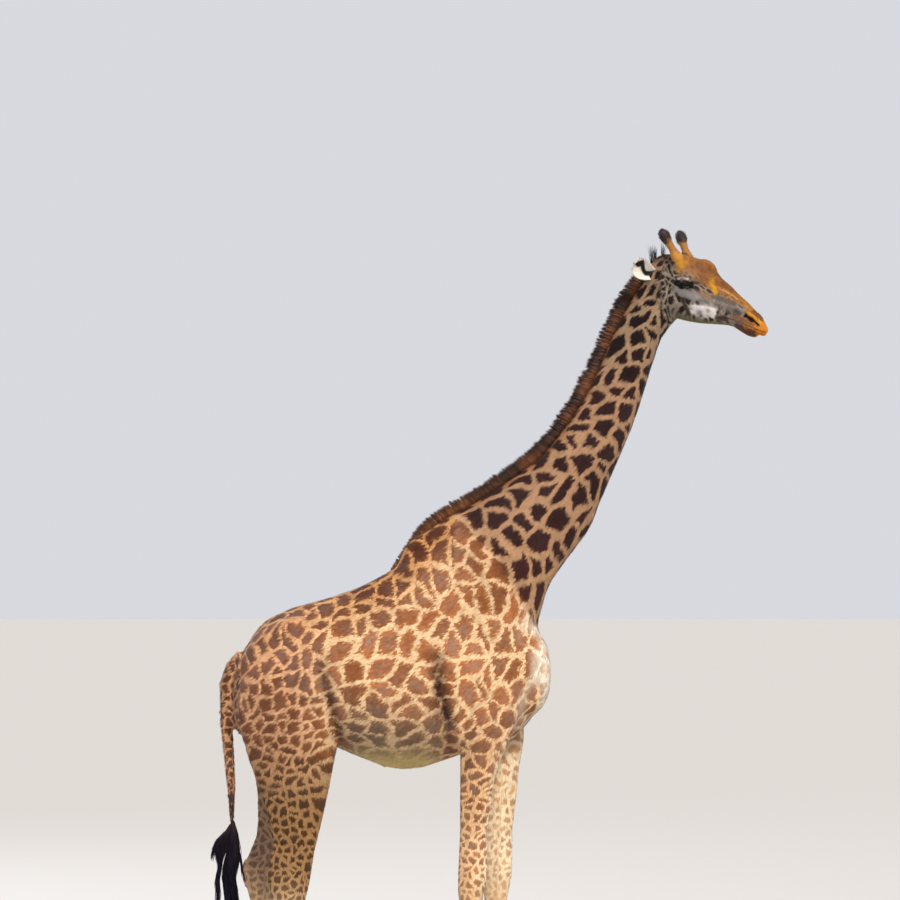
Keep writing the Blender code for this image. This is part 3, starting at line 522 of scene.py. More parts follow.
a, b, c = in_head(places_of(skin)).T
for sign in SIDES.values():
    u, v, out = eye_frame(a, b, c, sign)
    near = on_head & (out > -0.045) & (np.hypot(u, v) < 0.062)
    # The rim takes the vertices nearest to it.
    rim = near & (np.abs(np.abs(v) - lid_height(u)) < 0.0013) & (np.abs(u) < SLIT_HALF)
    v = np.where(rim, np.sign(v) * lid_height(u), v)
    beyond = np.where(np.abs(u) < SLIT_HALF, np.abs(v) - lid_height(u), np.hypot(np.abs(u) - SLIT_HALF, v))
    around = np.hypot(u, v)
    thick = 0.0028 + 0.0018 * smooth_step(-0.002, 0.004, v)
    lid = np.sqrt(np.clip((EYE_RADIUS + thick) ** 2 - around**2, 0.0001, None))
    lid_share = fall(0.005, 0.017, beyond)
    out = np.where(near & (beyond >= -0.0002), out + lid_share * (lid - out), out)
    crease = np.where(v > 0, 0.0026, 0.0014) * bell((beyond - 0.0125) / 0.0030)
    out = np.where(near, out - crease * (np.abs(u) < 0.045), out)
    behind = np.sqrt(np.clip(EYE_RADIUS**2 - around**2, 0.0, None)) - 0.009
    out = np.where(near & (beyond < -0.0002), behind, out)
    moved = out_of_eye(u, v, out, sign)
    a, b, c = np.where(rim, moved[0], a), np.where(near, moved[1], b), np.where(rim, moved[2], c)
move_to(skin, out_of_head(np.stack([a, b, c], axis=1)))
print("lids moulded round both eyes")

# %% [markdown]
# A Masai giraffe's patches are jagged, and they change from place to place: long dark ones on the neck,
# ragged orange-brown ones on the body, and smaller and smaller ones down the rump and legs. One flat cell
# pattern can draw them all if the skin is unrolled onto it, stretched where patches are small and packed
# where they are big. A solid pattern would be simpler, but the skin cuts its cells aslant and leaves bare
# places. Both sides are unrolled from the spine as mirror images, and then made to differ by a slow noise,
# a quicker one, and a slide along the midline. Each edge of the mesh says how far apart its ends should
# be, and the coordinates that agree best with all edges are found by conjugate gradients.

# %% Unrolled pattern coordinates
NECK_UP = np.array([0.62, 0.785])  # the neck's direction, seen from the side
HEAD_YAW = math.atan2(level.y, level.x)


def along_and_up(points):
    """Lengths along the body from the belly's point, and heights."""
    return points[:, 0] - BELLY_X, points[:, 2]


def past_shoulder(along, z):
    """How far in front of a slanting line on which the shoulder ends."""
    return 0.74 * along + 0.67 * z - 2.186


def neck_share(points):
    """1 on the neck, 0 on the shoulder and body."""
    along, z = along_and_up(points)
    line = past_shoulder(along, z) + 0.5 * (along - 0.60).clip(0)
    return smooth_step(-0.045, 0.045, line) * smooth_step(2.1, 2.3, z)


def head_share(points):
    """1 on the head, in front of the ears."""
    return smooth_step(0.030, 0.130, past_ears(points)) * smooth_step(3.5, 3.7, points[:, 2])


def is_leg(points):
    along, z = along_and_up(points)
    return ((along > 0.14) & (z < 1.63)) | ((along < -0.18) & (along > -0.76) & (z < 1.58))


def patch_sizes(points):
    """The width of a patch and its gap together, in metres, and how many times longer it is up the neck."""
    along, z = along_and_up(points)
    hind = np.interp(z, [0.0, 0.9, 1.2, 1.5, 1.8, 2.0, 2.3], [0.034, 0.040, 0.044, 0.050, 0.058, 0.068, 0.082])
    fore = np.interp(z, [0.0, 0.9, 1.3, 1.6, 1.9, 2.15], [0.034, 0.042, 0.047, 0.058, 0.090, 0.114])
    neck, head = neck_share(points), head_share(points)
    size = np.full(len(points), 0.116)
    for wanted, share in (
        (fore, smooth_step(0.14, 0.30, along) * (z < 2.4)),
        (hind, fall(-0.44, -0.20, along)),
        (0.040, fall(-0.80, -0.77, along) * smooth_step(0.9, 1.2, z) * (z < 2.05)),  # the tail
        (np.interp(z, [2.3, 3.0, 3.5, 3.9], [0.118, 0.104, 0.090, 0.066]), neck),
        (0.040, head),
    ):
        size += (wanted - size) * share
    return size, 1 + 0.5 * neck * (1 - head) * smooth_step(2.4, 3.0, z)


def unrolled(step, sideways, normal, legs):
    """Steps along the surface turned flat, into the plane seen from the side. On a leg they are turned
    about the vertical, so that the pattern runs round it."""
    step = step.copy()
    step[:, 1] = sideways
    turn = np.cross(normal, [0.0, 1.0, 0.0])
    flat = step + np.cross(turn, step) + np.cross(turn, np.cross(turn, step)) / (1 + normal[:, 1:2]).clip(0.15)
    flat = flat[:, [0, 2]]
    level_normal = normal[:, :2] / np.linalg.norm(normal[:, :2], axis=1)[:, None].clip(1e-6)
    round_leg = step[:, 0] * level_normal[:, 1] - step[:, 1] * level_normal[:, 0]
    flat[legs] = np.stack([round_leg, step[:, 2]], axis=1)[legs]
    return flat


def noises_at(points, scale, shift=(0, 0, 0)):
    """Two slow noises for each point."""
    return np.array([noise.noise_vector(Vector(point) * scale + Vector(shift)) for point in points])[:, :2]


def pattern_coordinates(obj):
    """For each vertex, its place in the flat pattern, where every patch is about 1 across."""
    points = places_of(obj)
    one, other = edges_of(obj)
    middle = (points[other] + points[one]) / 2
    # The head is turned, so its steps are first turned back.
    turned = -HEAD_YAW * smooth_step(3.70, 3.95, points[:, 2])
    cosine, sine = np.cos(turned), np.sin(turned)

    def turned_back(vectors, c, s):
        x, y, z = vectors.T
        return np.stack([c * x - s * y, s * x + c * y, z], axis=1)

    lateral = turned_back(points - POLL, cosine, sine)[:, 1]
    side = np.where(lateral[one] + lateral[other] < 0, -1.0, 1.0)
    step = turned_back(points[other] - points[one], cosine[one], sine[one])
    normals = normals_of(obj)
    normal = turned_back(normals[one] + normals[other], cosine[one], sine[one])
    normal[:, 1] *= side
    normal /= np.linalg.norm(normal, axis=1)[:, None].clip(1e-9)
    legs = is_leg(middle)
    size, longer = patch_sizes(middle)
    flat = unrolled(step, np.abs(lateral[other]) - np.abs(lateral[one]), normal, legs)
    up_neck = (flat @ NECK_UP)[:, None] * NECK_UP
    wanted = (flat - up_neck * (1 - 1 / longer)[:, None]) / size[:, None]
    # A leg's pattern is cut down its inner side, and counts for little where the skin faces the midline.
    turns = [np.arctan2(normals[end][:, 0], normals[end][:, 1] * side) for end in (one, other)]
    weight = np.where(legs & (np.abs(turns[0] - turns[1]) > math.pi), 0.0, 1.0)
    weight *= np.where(legs, 1.0, smooth_step(-1.0, -0.5, normal[:, 1]) + 0.02)
    weight *= 1 - 0.97 * head_share(middle)  # the face has its own marks, so it only follows the neck
    weight *= np.linalg.norm(step, axis=1) / SKIN_GRAIN  # an edge counts by its length
    count = len(points)

    def gathered(edge_values):
        columns = (edge_values * weight[:, None]).T
        return np.column_stack([np.bincount(other, k, count) - np.bincount(one, k, count) for k in columns])

    held = (np.bincount(one, weight, count) + np.bincount(other, weight, count)).clip(1e-6)[:, None]
    found = points[:, [0, 2]] / 0.09
    left = gathered(wanted) - gathered(found[other] - found[one])
    direction = left / held
    strength = (left * direction).sum(0)
    for _ in range(500):
        pushed = gathered(direction[other] - direction[one])
        share = strength / (direction * pushed).sum(0)
        found += share * direction
        left -= share * pushed
        eased = left / held
        before, strength = strength, (left * eased).sum(0)
        direction = eased + (strength / before) * direction
    error = np.abs(found[other] - found[one] - wanted).mean() / np.abs(wanted).mean()
    print("pattern coordinates: mean error", round(float(error), 3), "span", np.round(np.ptp(found, axis=0), 1))
    found = found + 2.6 * noises_at(points, 0.5, (7, 3, 5)) + 0.3 * noises_at(points, 2.2, (2, 8, 4))
    # The pattern slides forward on one side and back on the other, or the midline would be a mirror.
    found += 0.5 * np.tanh(lateral / 0.09)[:, None] * (1.0, 0.9)
    # The head has small cells of its own, laid over it from the crown down both sides.
    a, b, c = in_head(points).T
    on_head = np.stack([a, c - np.abs(b)], axis=1) / 0.036 + 1.3 * noises_at(points, 9)
    found = np.where(head_share(points)[:, None] > 0.5, on_head, found)
    return np.column_stack([found, np.zeros(count)])


NOISE_SEED = 1795392719  # without one the slow noises start from the clock, and differ each run
noise.seed_set(NOISE_SEED)
pattern = pattern_coordinates(skin)

# %% [markdown]
# A few fields hold the colours. Every vertex gets a ground colour, a patch colour, half the gap between
# patches, how plainly the patches show, and how deeply their edges are notched. They are worked out from
# where the vertex is on the animal by soft rules, one region after another, as a painter would lay washes.
# The tufts of hair take all fields of the skin at their roots.

# %% Washes of colour by region
BACK_LINE = (  # height of the back, at lengths along the body
    [-0.80, -0.66, -0.52, -0.36, -0.18, -0.02, 0.08, 0.17, 0.25, 0.30],
    [2.06, 2.30, 2.372, 2.418, 2.478, 2.56, 2.64, 2.72, 2.80, 2.84],
)


def lay(colours, share, colour):
    """Draws the colours, each by its share, towards one colour."""
    colours += share[:, None] * (linear(colour) - colours)


class Washes:
    """The colour fields of a set of points."""

    def __init__(self, points, normals):
        self.points, self.normals = points, normals
        count = len(points)
        self.ground = np.tile(linear("#e6c298"), (count, 1))
        self.patch = np.tile(linear("#9c6036"), (count, 1))
        self.gap = np.full(count, 0.088)
        self.shown = np.ones(count)
        self.notched = np.ones(count)

    def wash(self, share, ground=None, patch=None, gap=None, shown=None, notched=None):
        """Draws the fields towards new values by a share."""
        share = np.clip(share, 0, 1)
        for field, colour in ((self.ground, ground), (self.patch, patch)):
            if colour is not None:
                lay(field, share, colour)
        for field, value in ((self.gap, gap), (self.shown, shown), (self.notched, notched)):
            if value is not None:
                field += share * (value - field)


def wash_body(w):
    along, z = along_and_up(w.points)
    forwards, outwards = w.normals[:, 0], w.normals[:, 1] * np.sign(w.points[:, 1])
    neck = neck_share(w.points)
    thigh_front = along - np.interp(z, [1.55, 1.70, 1.92, 2.10], [-0.215, -0.25, -0.31, -0.345])
    barrel = (1 - neck) * smooth_step(-0.01, 0.07, thigh_front)
    rump = fall(-0.50, -0.28, along)
    w.wash(rump, "#d2a27c", "#7a4c33", 0.115, notched=0.45)
    back = fall(0.02, 0.30, np.interp(along, *BACK_LINE) - z) * (along < 0.34) * (1 - neck)
    w.wash(back * smooth_step(-0.6, 0.0, along) * 0.9, "#c08650", "#45261e")
    w.wash(back * 0.4, "#d59a5e", "#6e3c26")
    chest = smooth_step(0.62, 0.76, along) * fall(0.3, 0.9, neck) * smooth_step(0.40, 0.85, forwards)
    w.wash(chest, "#f6f0e2", "#d8b090", 0.11, shown=0.6)
    # The lower flank is painted greyer and darker: partly its own colour, partly painted shade under the belly.
    belly = barrel * fall(1.62, 1.98, z) * fall(0.27, 0.33, along)
    w.wash(belly, "#c6a682", "#7a6046", 0.095)
    underside = barrel * fall(1.55, 1.70, z) * fall(0.20, 0.30, along)
    w.wash(underside, "#c8b070", shown=0.0)
    # The hollows behind the elbow and before the thigh are painted darker as painted shade, with a thinner, darker
    # line of painted shadow down each crease.
    spots = np.stack([along, z], axis=1)
    outer = smooth_step(0.1, 0.5, outwards) * (1 - neck)
    for path, radius, strength in (
        ([(0.235, 2.12), (0.255, 2.00), (0.280, 1.88), (0.312, 1.76), (0.325, 1.66)], 0.032, 1.0),
        ([(-0.345, 2.10), (-0.310, 1.92), (-0.250, 1.70)], 0.030, 0.55),
    ):
        away = path_distance(spots, path)
        w.wash(outer * strength * bell(away / radius), "#5c3d2b", "#231410")
        w.wash(outer * (0.35 + 0.3 * strength) * bell(away / 0.014), "#332018", "#1a0f0d")
    # The legs: smaller spots that fade towards the feet, paler on the inner side.
    inward = smooth_step(0.1, 0.7, -outwards)
    fore = smooth_step(0.24, 0.31, along) * fall(1.55, 1.85, z)
    w.wash(fore, "#dcae80", "#865430", 0.155, notched=0.35)
    w.wash(fore * fall(1.10, 1.45, z), "#e9c094", "#a66e44")
    w.wash(fore * smooth_step(0.2, 0.9, forwards), "#f0d6ae", "#a9704a")
    # The hind leg and thigh are painted darker than the forelegs: partly their own colour, partly painted shade.
    hind = fall(0.0, 0.05, thigh_front) * fall(1.30, 1.90, z)
    w.wash(hind, "#9a744c", "#4c321b", 0.165, notched=0.3)
    w.wash(fore * inward, "#ead6b4", "#c8986e", 0.20)
    w.wash(hind * inward, "#ad8c70", "#7c5c44", 0.16)
    w.wash(fall(1.0, 1.35, z), gap=0.17)
    w.wash(fall(0.70, 1.05, z), "#d8b48a", shown=0.5)
    w.wash(fall(0.35, 0.75, z), "#dcc29c", shown=0.15)
    # A pale painted highlight on the front of each foreleg's knee.
    knee_highlight = bell((z - 0.99) / 0.07) * smooth_step(0.0, 0.6, forwards) * (along > 0)
    w.wash(knee_highlight * 0.55, "#f0dcb4")
    w.wash(fall(0.10, 0.16, z), "#8a6a4c", shown=0.0)
    tail = fall(-0.80, -0.775, along) * smooth_step(0.9, 1.1, z)
    w.wash(tail, "#c8966e", "#653e2b", 0.13, notched=0.3)
    w.wash(tail * fall(1.25, 1.60, z), "#6f5245", "#2a1b1a")


def wash_neck(w):
    along, z = along_and_up(w.points)
    neck = neck_share(w.points)
    near = smooth_step(-0.20, 0.10, past_shoulder(along, z)) * smooth_step(2.2, 2.5, z)
    w.wash(near * 0.8, "#d0a276", "#6a3a26")
    w.wash(neck, "#b48c6c", "#361c1b", 0.130, notched=0.75)
    w.wash(neck * fall(2.5, 2.9, z), "#bd946e", "#42211e")
    w.wash(neck * smooth_step(3.45, 3.80, z), "#a88a6e", "#1e1010", 0.140)
    nape = neck * smooth_step(0.55, 0.95, -(w.normals @ np.array([0.785, 0, -0.62])))
    w.wash(nape * 0.85, "#a0622f", "#3c1d16")


# %% [markdown]
# The face has no patches but many small marks of its own: a golden forehead and nose with dark freckles, a
# grey temple and jaw with dark spots, a pale cheek, a dark mouth corner and an orange muzzle. Each is a dab
# or a stroke of a soft round brush, laid on both sides at once, in the head's frame.

# %% The face's marks
def head_noise(points, scale):
    """A noise from about -1 to 1, at the points of the head and 0 elsewhere."""
    found = np.zeros(len(points))
    for i in np.nonzero(points[:, 2] > HEAD_LOW)[0]:
        found[i] = noise.noise(Vector(points[i] * scale))
    return found * 2


def wash_face(w):
    a, b, c = in_head(w.points).T
    head = head_share(w.points)
    side = head * smooth_step(0.20, 0.55, np.abs(w.normals @ HEAD_AXES[1]))
    shake = head_noise(w.points, 38.0) * 0.22 + head_noise(w.points, 90.0) * 0.13

    def dab(colour, path, radius, strength=1.0, hardness=0.5, on=side, **fields):
        """Paints along a path of (a, c), with a hand that shakes a little."""
        nearest = path_distance(np.stack([a, c], axis=1), path) + shake * radius
        brush = fall(radius * hardness, radius * (2 - hardness), nearest)
        w.wash(on * strength * brush, colour, **fields)

    # Grey temple, cheek and jaw with dark spots.
    w.wash(head, "#8f8272", "#241a1a", 0.15, shown=1.0, notched=0.6)
    w.wash(head * fall(-0.9, -0.55, w.normals @ HEAD_AXES[2]) * 0.7, "#94875c", shown=0.4)
    # Golden brown forehead, brow and nose, with freckles.
    golden_line = [0.10, 0.16, 0.24, 0.30, 0.42, 0.55, 0.75], [0.12, 0.085, 0.085, 0.055, 0.055, 0.055, -0.05]
    front = head * smooth_step(0.0, 0.035, c - np.interp(a, *golden_line))
    w.wash(front, "#9c6738", "#5e3b24", 0.26, shown=0.5, notched=0.2)
    w.wash(front * smooth_step(0.30, 0.60, a), "#a8702f")
    crown = smooth_step(0.05, 0.10, c) * smooth_step(-0.10, -0.04, a) * fall(0.09, 0.13, a)
    w.wash(crown * smooth_step(3.85, 3.95, w.points[:, 2]) * 0.85, "#77564a", "#241817")
    # The plain grey band from under the eye towards the mouth.
    grey_band = [(0.20, 0.00), (0.30, 0.005), (0.40, 0.028), (0.50, 0.038), (0.57, 0.036)]
    dab("#8b8480", grey_band, 0.027, 0.85, 0.3, shown=0.1)
    dab("#b4afae", [(0.215, 0.000), (0.27, -0.004), (0.32, 0.002)], 0.020, 0.7, 0.2, shown=0.0)
    dab("#5a4a40", [(0.39, 0.048), (0.44, 0.055), (0.51, 0.060)], 0.013, 0.75, 0.3, shown=0.0)
    dab("#6e5f56", [(0.42, 0.020), (0.50, 0.032), (0.55, 0.034)], 0.012, 0.6, 0.2)
    dab("#a07048", [(0.33, 0.035), (0.37, 0.035)], 0.016, 0.6, shown=0.0)
    dab("#3e3432", [(0.535, 0.034), (0.560, 0.030)], 0.016, 0.8, 0.3, shown=0.0)
    # The pale cheek, with pinkish blotches, and the dark bar behind it.
    dab("#efe8e6", [(0.325, -0.062), (0.365, -0.046), (0.410, -0.030)], 0.032, 0.95, 0.5, shown=0.0)
    dab("#8d7672", [(0.350, -0.066)], 0.015, 0.85, 0.3)
    dab("#a08684", [(0.394, -0.034)], 0.013, 0.75, 0.3)
    dab("#4a3f44", [(0.322, -0.020)], 0.008, 0.8)
    dab("#241a1c", [(0.243, -0.040), (0.262, -0.062), (0.296, -0.100)], 0.011, 0.9, 0.5, shown=0.0)
    # The dark corner of the mouth, painted shade in its groove, the lips, and the olive line under the jaw.
    dab("#3a2c2a", [(0.455, -0.048), (0.500, -0.030)], 0.014, 0.9, shown=0.0)
    dab("#8a7068", [(0.520, -0.020), (0.560, -0.012)], 0.014, 0.7, shown=0.0)
    dab("#6e6a42", [(0.24, -0.140), (0.33, -0.125), (0.42, -0.098), (0.52, -0.060)], 0.016, 0.8, shown=0.0)
    w.wash(head * smooth_step(0.57, 0.64, a), "#ad6f2c", shown=0.15)
    w.wash(head * smooth_step(0.66, 0.73, a), "#cc7c1e", shown=0.0)
    dab("#8c5a3c", [(0.545, 0.0), (0.60, 0.012), (0.66, 0.018)], 0.016, 0.75, shown=0.0)
    # A dark band under the upper lip: painted shadow of the lip.
    dab("#54302a", [(0.575, -0.036), (0.63, -0.040), (0.68, -0.024)], 0.018, 0.9, shown=0.0)
    dab("#b0601f", [(0.70, -0.010), (0.73, 0.002)], 0.012, 0.6, shown=0.0)
    # Golden and yellow streaks before the eye, up to the horn, and along the nose.
    dab("#bf8326", [(0.325, 0.128), (0.352, 0.098), (0.392, 0.066)], 0.013, 0.9, 0.3, shown=0.0)
    dab("#cf9a28", [(0.345, 0.106), (0.388, 0.068)], 0.0085, 0.75, 0.1, shown=0.0)
    dab("#b8802c", [(0.120, 0.150), (0.150, 0.115), (0.172, 0.085)], 0.024, 0.9, 0.3, shown=0.0)
    dab("#c9942c", [(0.132, 0.146), (0.152, 0.108)], 0.014, 0.7, 0.1, shown=0.0)
    dab("#d8b070", [(0.384, 0.100), (0.41, 0.094), (0.45, 0.096), (0.504, 0.090)], 0.0036, 0.6, 0.2, shown=0.0)
    dab("#7a4a24", [(0.37, 0.112), (0.40, 0.112)], 0.014, 0.7, shown=0.0)
    dab("#7a4a24", [(0.29, 0.150), (0.33, 0.140)], 0.014, 0.5, shown=0.3)
    dab("#6e4c34", [(0.235, 0.150), (0.280, 0.125), (0.315, 0.118)], 0.020, 0.55, 0.1, shown=0.4)
    dab("#ab7c5e", [(0.200, 0.098), (0.240, 0.100)], 0.018, 0.55, 0.1, shown=0.1)
    dab("#75492a", [(0.45, 0.118), (0.52, 0.108), (0.58, 0.098)], 0.010, 0.6, 0.1, shown=0.2)
    nose_line = [(0.310, 0.165), (0.360, 0.150), (0.410, 0.128), (0.460, 0.120)]
    dab("#6a4022", nose_line, 0.014, 0.6, 0.1, on=head, shown=0.3)
    # Round the eye: dark rims, a tear line in front, a pale painted highlight along the upper lid and a grey lid
    # below.
    dab("#6a5244", [(0.19, 0.050), (0.232, 0.060), (0.285, 0.078)], 0.020, 0.7, shown=0.0)
    dab("#100b0c", [(0.182, 0.024), (0.205, 0.022), (0.232, 0.029), (0.262, 0.050)], 0.018, 1.0, 0.75, shown=0.0)
    dab("#2a1c18", [(0.262, 0.058), (0.288, 0.074)], 0.006, 0.8, 0.5, shown=0.0)
    # A painted highlight along the upper lid.
    dab("#d8c8c0", [(0.180, 0.046), (0.205, 0.062), (0.238, 0.073)], 0.0055, 0.65, 0.4, shown=0.0)
    # The nostril: a slit painted black as the shade inside its opening, in an orange rim, with a dark patch above
    # it.
    dab("#3a2214", [(0.620, 0.074), (0.655, 0.062), (0.680, 0.050)], 0.0075, 0.7, 0.1, on=head, shown=0.0)
    dab("#d09026", [(0.600, 0.056), (0.645, 0.052), (0.692, 0.038)], 0.0065, 0.9, 0.4, shown=0.0)
    # Painted shade in the nostril's slit.
    dab("#120b0a", [(0.602, 0.038), (0.625, 0.037), (0.645, 0.034)], 0.011, 1.0, 0.6, shown=0.0)
    dab("#120b0a", [(0.640, 0.034), (0.684, 0.022)], 0.006, 1.0, 0.6, shown=0.0)


def keep(obj, name, values, kind="FLOAT_COLOR"):
    """Stores one value for each vertex as an attribute of the mesh."""
    if kind == "FLOAT_COLOR":
        values = np.column_stack([values, np.ones(len(values))])
    what = {"FLOAT_COLOR": "color", "FLOAT_VECTOR": "vector", "FLOAT": "value"}[kind]
    obj.data.attributes.new(name, kind, "POINT").data.foreach_set(what, np.ravel(values).astype(np.float32))


def keep_fields(obj, pattern_places, marking, ground, patch, shade):
    """Stores the coat's fields on a mesh."""
    keep(obj, "pattern", pattern_places, "FLOAT_VECTOR")
    keep(obj, "marking", marking, "FLOAT_VECTOR")
    keep(obj, "ground", ground)
    keep(obj, "patch", patch)
    keep(obj, "shade", shade, "FLOAT")


painted = Washes(places_of(skin), normals_of(skin))
for paint in (wash_body, wash_neck, wash_face):
    paint(painted)
skin_marking = np.stack([painted.gap, painted.shown, painted.notched], axis=1)
SKIN_FIELDS = (pattern, skin_marking, painted.ground, painted.patch)
keep_fields(skin, *SKIN_FIELDS, np.ones(len(pattern)))

# %% [markdown]
# The coat's material reads those fields. Cells of a Voronoi texture are the patches, and the distance to
# their edges is the gap. Two noises bend the cells, a coarse one for their shape and a fine one for their
# ragged edge, and a second, finer set of cells cuts notches into them. Fur is matt with a faint sheen, and
# its hairs, about 1 mm wide, are drawn 4 mm wide so that they show, as streaks that run down and back.


# %% The coat's material
def tinted(material, colour, factor, low, high):
    """The colour made darker or lighter by a factor between low and high."""
    amount = add_node(material, "MapRange", Value=factor, i3=low, i4=high)
    grey = add_node(material, "CombineColor", i0=amount, i1=amount, i2=amount)
    return add_node(material, "MixRGB", {"blend_type": "MULTIPLY"}, Fac=1.0, Color1=colour, Color2=grey)


def coat_material(name, bump, hair_scale):
    """The fur of the skin and of everything that carries its markings."""
    material, shader = new_material(
        name, Roughness=0.82, Specular_IOR_Level=0.14, Sheen_Weight=0.09, Sheen_Roughness=0.5
    )

    def add(kind, settings=None, **links):
        return add_node(material, kind, settings, **links)

    def maths(operation, one, two, clamp=False):
        return add("Math", {"operation": operation, "use_clamp": clamp}, i0=one, i1=two)

    def field(attribute):
        return add("Attribute", {"attribute_name": attribute})

    def between(value, low, high):
        """0 below low and 1 above high. Both ends may be sockets."""
        return add("MapRange", {"interpolation_type": "SMOOTHSTEP"}, Value=value, From_Min=low, From_Max=high)

    def bent(vector, scale, amount, detail):
        """The vector pushed about by a noise."""
        push = add("TexNoise", Vector=vector, Scale=scale, Detail=detail).outputs["Color"]
        centred = add("VectorMath", {"operation": "SUBTRACT"}, i0=push, i1=(0.5,) * 3)
        return add("VectorMath", {"operation": "MULTIPLY_ADD"}, i0=centred, i1=(amount,) * 3, i2=vector)

    def cells(feature, vector, scale, randomness, output):
        made = add("TexVoronoi", {"feature": feature, "voronoi_dimensions": "2D"}, Vector=vector, Scale=scale,
                   Randomness=randomness)
        return made.outputs[output]

    place = field("pattern").outputs["Vector"]
    gap, shown, notched = add("SeparateXYZ", Vector=field("marking").outputs["Vector"]).outputs
    warped = bent(bent(place, 0.9, 0.85, 1.0), 4.2, 0.24, 2.0)
    edge = cells("DISTANCE_TO_EDGE", warped, 1.0, 0.9, "Distance")
    cell_tint = cells("F1", warped, 1.0, 0.9, "Color")
    notch_edge = cells("DISTANCE_TO_EDGE", bent(place, 3.0, 0.4, 1.0), 2.3, 1.0, "Distance")
    inside = between(edge, maths("MULTIPLY", gap, 0.72), maths("MULTIPLY", gap, 1.28))
    notch_width = maths("MULTIPLY", maths("SUBTRACT", 0.26, edge, clamp=True), maths("MULTIPLY", notched, 0.62))
    notch = between(notch_edge, maths("SUBTRACT", notch_width, 0.06), notch_width)
    patch_share = maths("MULTIPLY", maths("MULTIPLY", inside, notch), shown, clamp=True)

    on_object = add("TexCoord").outputs["Object"]
    lie = add("Mapping", {"vector_type": "TEXTURE"}, Vector=on_object, Rotation=(0, math.radians(28), 0),
              Scale=(1.0, 1.0, 5.0))
    hairs = add("TexNoise", Vector=lie, Scale=hair_scale, Detail=3.0, Roughness=0.65)
    clumps = add("TexNoise", Vector=lie, Scale=hair_scale / 7, Detail=2.0)
    cloud = add("TexNoise", Vector=on_object, Scale=3.1, Detail=3.0)

    # Patches are darker in their middle, and each has its own shade.
    own_shade = add("SeparateColor", i0=cell_tint)
    patch_colour = tinted(material, field("patch"), own_shade, 0.80, 1.22)
    patch_colour = tinted(material, patch_colour, between(edge, 0.05, 0.42), 1.15, 0.88)
    # In cloudy places the middles of the patches are greyed and lightened, as a painted sheen of the sky reflected
    # in the hair.
    painted_sheen = maths("MULTIPLY", between(edge, 0.10, 0.40), between(cloud, 0.38, 0.62))
    patch_colour = add("HueSaturation", Saturation=0.75, Value=1.06, Color=patch_colour, Fac=painted_sheen)
    ground_colour = tinted(material, field("ground"), cloud, 0.86, 1.14)
    colour = add("MixRGB", Fac=patch_share, Color1=ground_colour, Color2=patch_colour)
    for factor, low, high in ((hairs, 0.80, 1.20), (clumps, 0.88, 1.12), (field("shade").outputs["Fac"], 0.0, 1.0)):
        colour = tinted(material, colour, factor, low, high)
    height = maths("ADD", hairs, maths("MULTIPLY", clumps, 0.6))
    connect(shader, Base_Color=colour, Normal=add("Bump", Height=height, Strength=bump, Distance=0.004))
    return material


skin_fur = coat_material("short_giraffe_fur", 0.5, 60.0)
skin.data.materials.clear()
skin.data.materials.append(skin_fur)
only(skin)
bpy.ops.object.shade_smooth()
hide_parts(*FLESH)
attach(skin, "root")
print("skin's fields painted:", len(pattern), "points")

# %% [markdown]
# The eyes are glass balls in life's size, 5 cm across, set as deep as the lids need. A giraffe's eye is
# nearly black, with a brown iris and a long pupil that lies level along the slit. Long lashes hang over it,
# which from far away double its size.

# %% Eyes and lashes
def painted_material(name, roughness, scale=0.0, depth=0.0, **values):
    """A finish whose colour is the attribute ground. Scale is that of its fine grain, if it has any."""
    material, shader = new_material(name, Roughness=roughness, **values)
    colour = add_node(material, "Attribute", {"attribute_name": "ground"})
    if scale:
        place = add_node(material, "TexCoord").outputs["Object"]
        grain = add_node(material, "TexNoise", Vector=place, Scale=scale, Detail=3.0)
        colour = tinted(material, colour, grain, 0.72, 1.28)
        connect(shader, Normal=add_node(material, "Bump", Height=grain, Strength=0.4, Distance=depth))
    connect(shader, Base_Color=colour)
    return material


def finish_piece(obj, material, slot, *nodes):
    """Names what the piece is made of, shades it smooth and lets it ride on the body."""
    obj.data.name = obj.name
    obj.data.materials.clear()
    obj.data.materials.append(material)
    only(obj)
    bpy.ops.object.shade_smooth()
    if nodes:
        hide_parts(*nodes)
    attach(obj, "root")
    print(obj.name, len(obj.data.polygons), "faces")


wet_eye = painted_material("wet_dark_eye", 0.06, IOR=1.4)
for side, sign in SIDES.items():
    centre = HEAD @ Vector((EYE_AT.x, sign * EYE_AT.y, EYE_AT.z))
    outwards = HEAD.to_3x3() @ Vector((0, sign, 0))
    bpy.ops.mesh.primitive_uv_sphere_add(
        segments=64, ring_count=40, radius=EYE_RADIUS - 0.0003, location=centre,
        rotation=outwards.to_track_quat("Z", "Y").to_euler(),
    )
    bpy.ops.object.transform_apply(location=True, rotation=True, scale=True)
    eye = bpy.context.object
    eye.name = f"eyeball_{side}"
    u, v, out = eye_frame(*in_head(places_of(eye)).T, sign)
    colours = np.tile(linear("#140e0e"), (len(u), 1))
    lay(colours, fall(0.80, 1.0, np.hypot(u, v) / 0.0175), "#241108")  # the iris
    lay(colours, fall(0.85, 1.1, np.hypot(u / 0.0125, v / 0.0045)), "#040305")  # the pupil
    keep(eye, "ground", colours)
    finish_piece(eye, wet_eye, "eyes", f"eye_{side}")

# %% [markdown]
# Hairs of every kind are built alike: a closed, pointed lock with a three-sided section, that follows a
# spine from its root to its tip. A short tuft has one ring and a tip, four triangles in all, and a long
# wavy lock of the tail has several rings. They are worked out as arrays and made as one joined mesh,
# because there are too many to place by hand. Each lock also gets its own small patch on a UV map, at
# the place of its root.


# %% Locks of hair
def unit(vectors):
    return vectors / np.linalg.norm(vectors, axis=-1, keepdims=True).clip(1e-9)


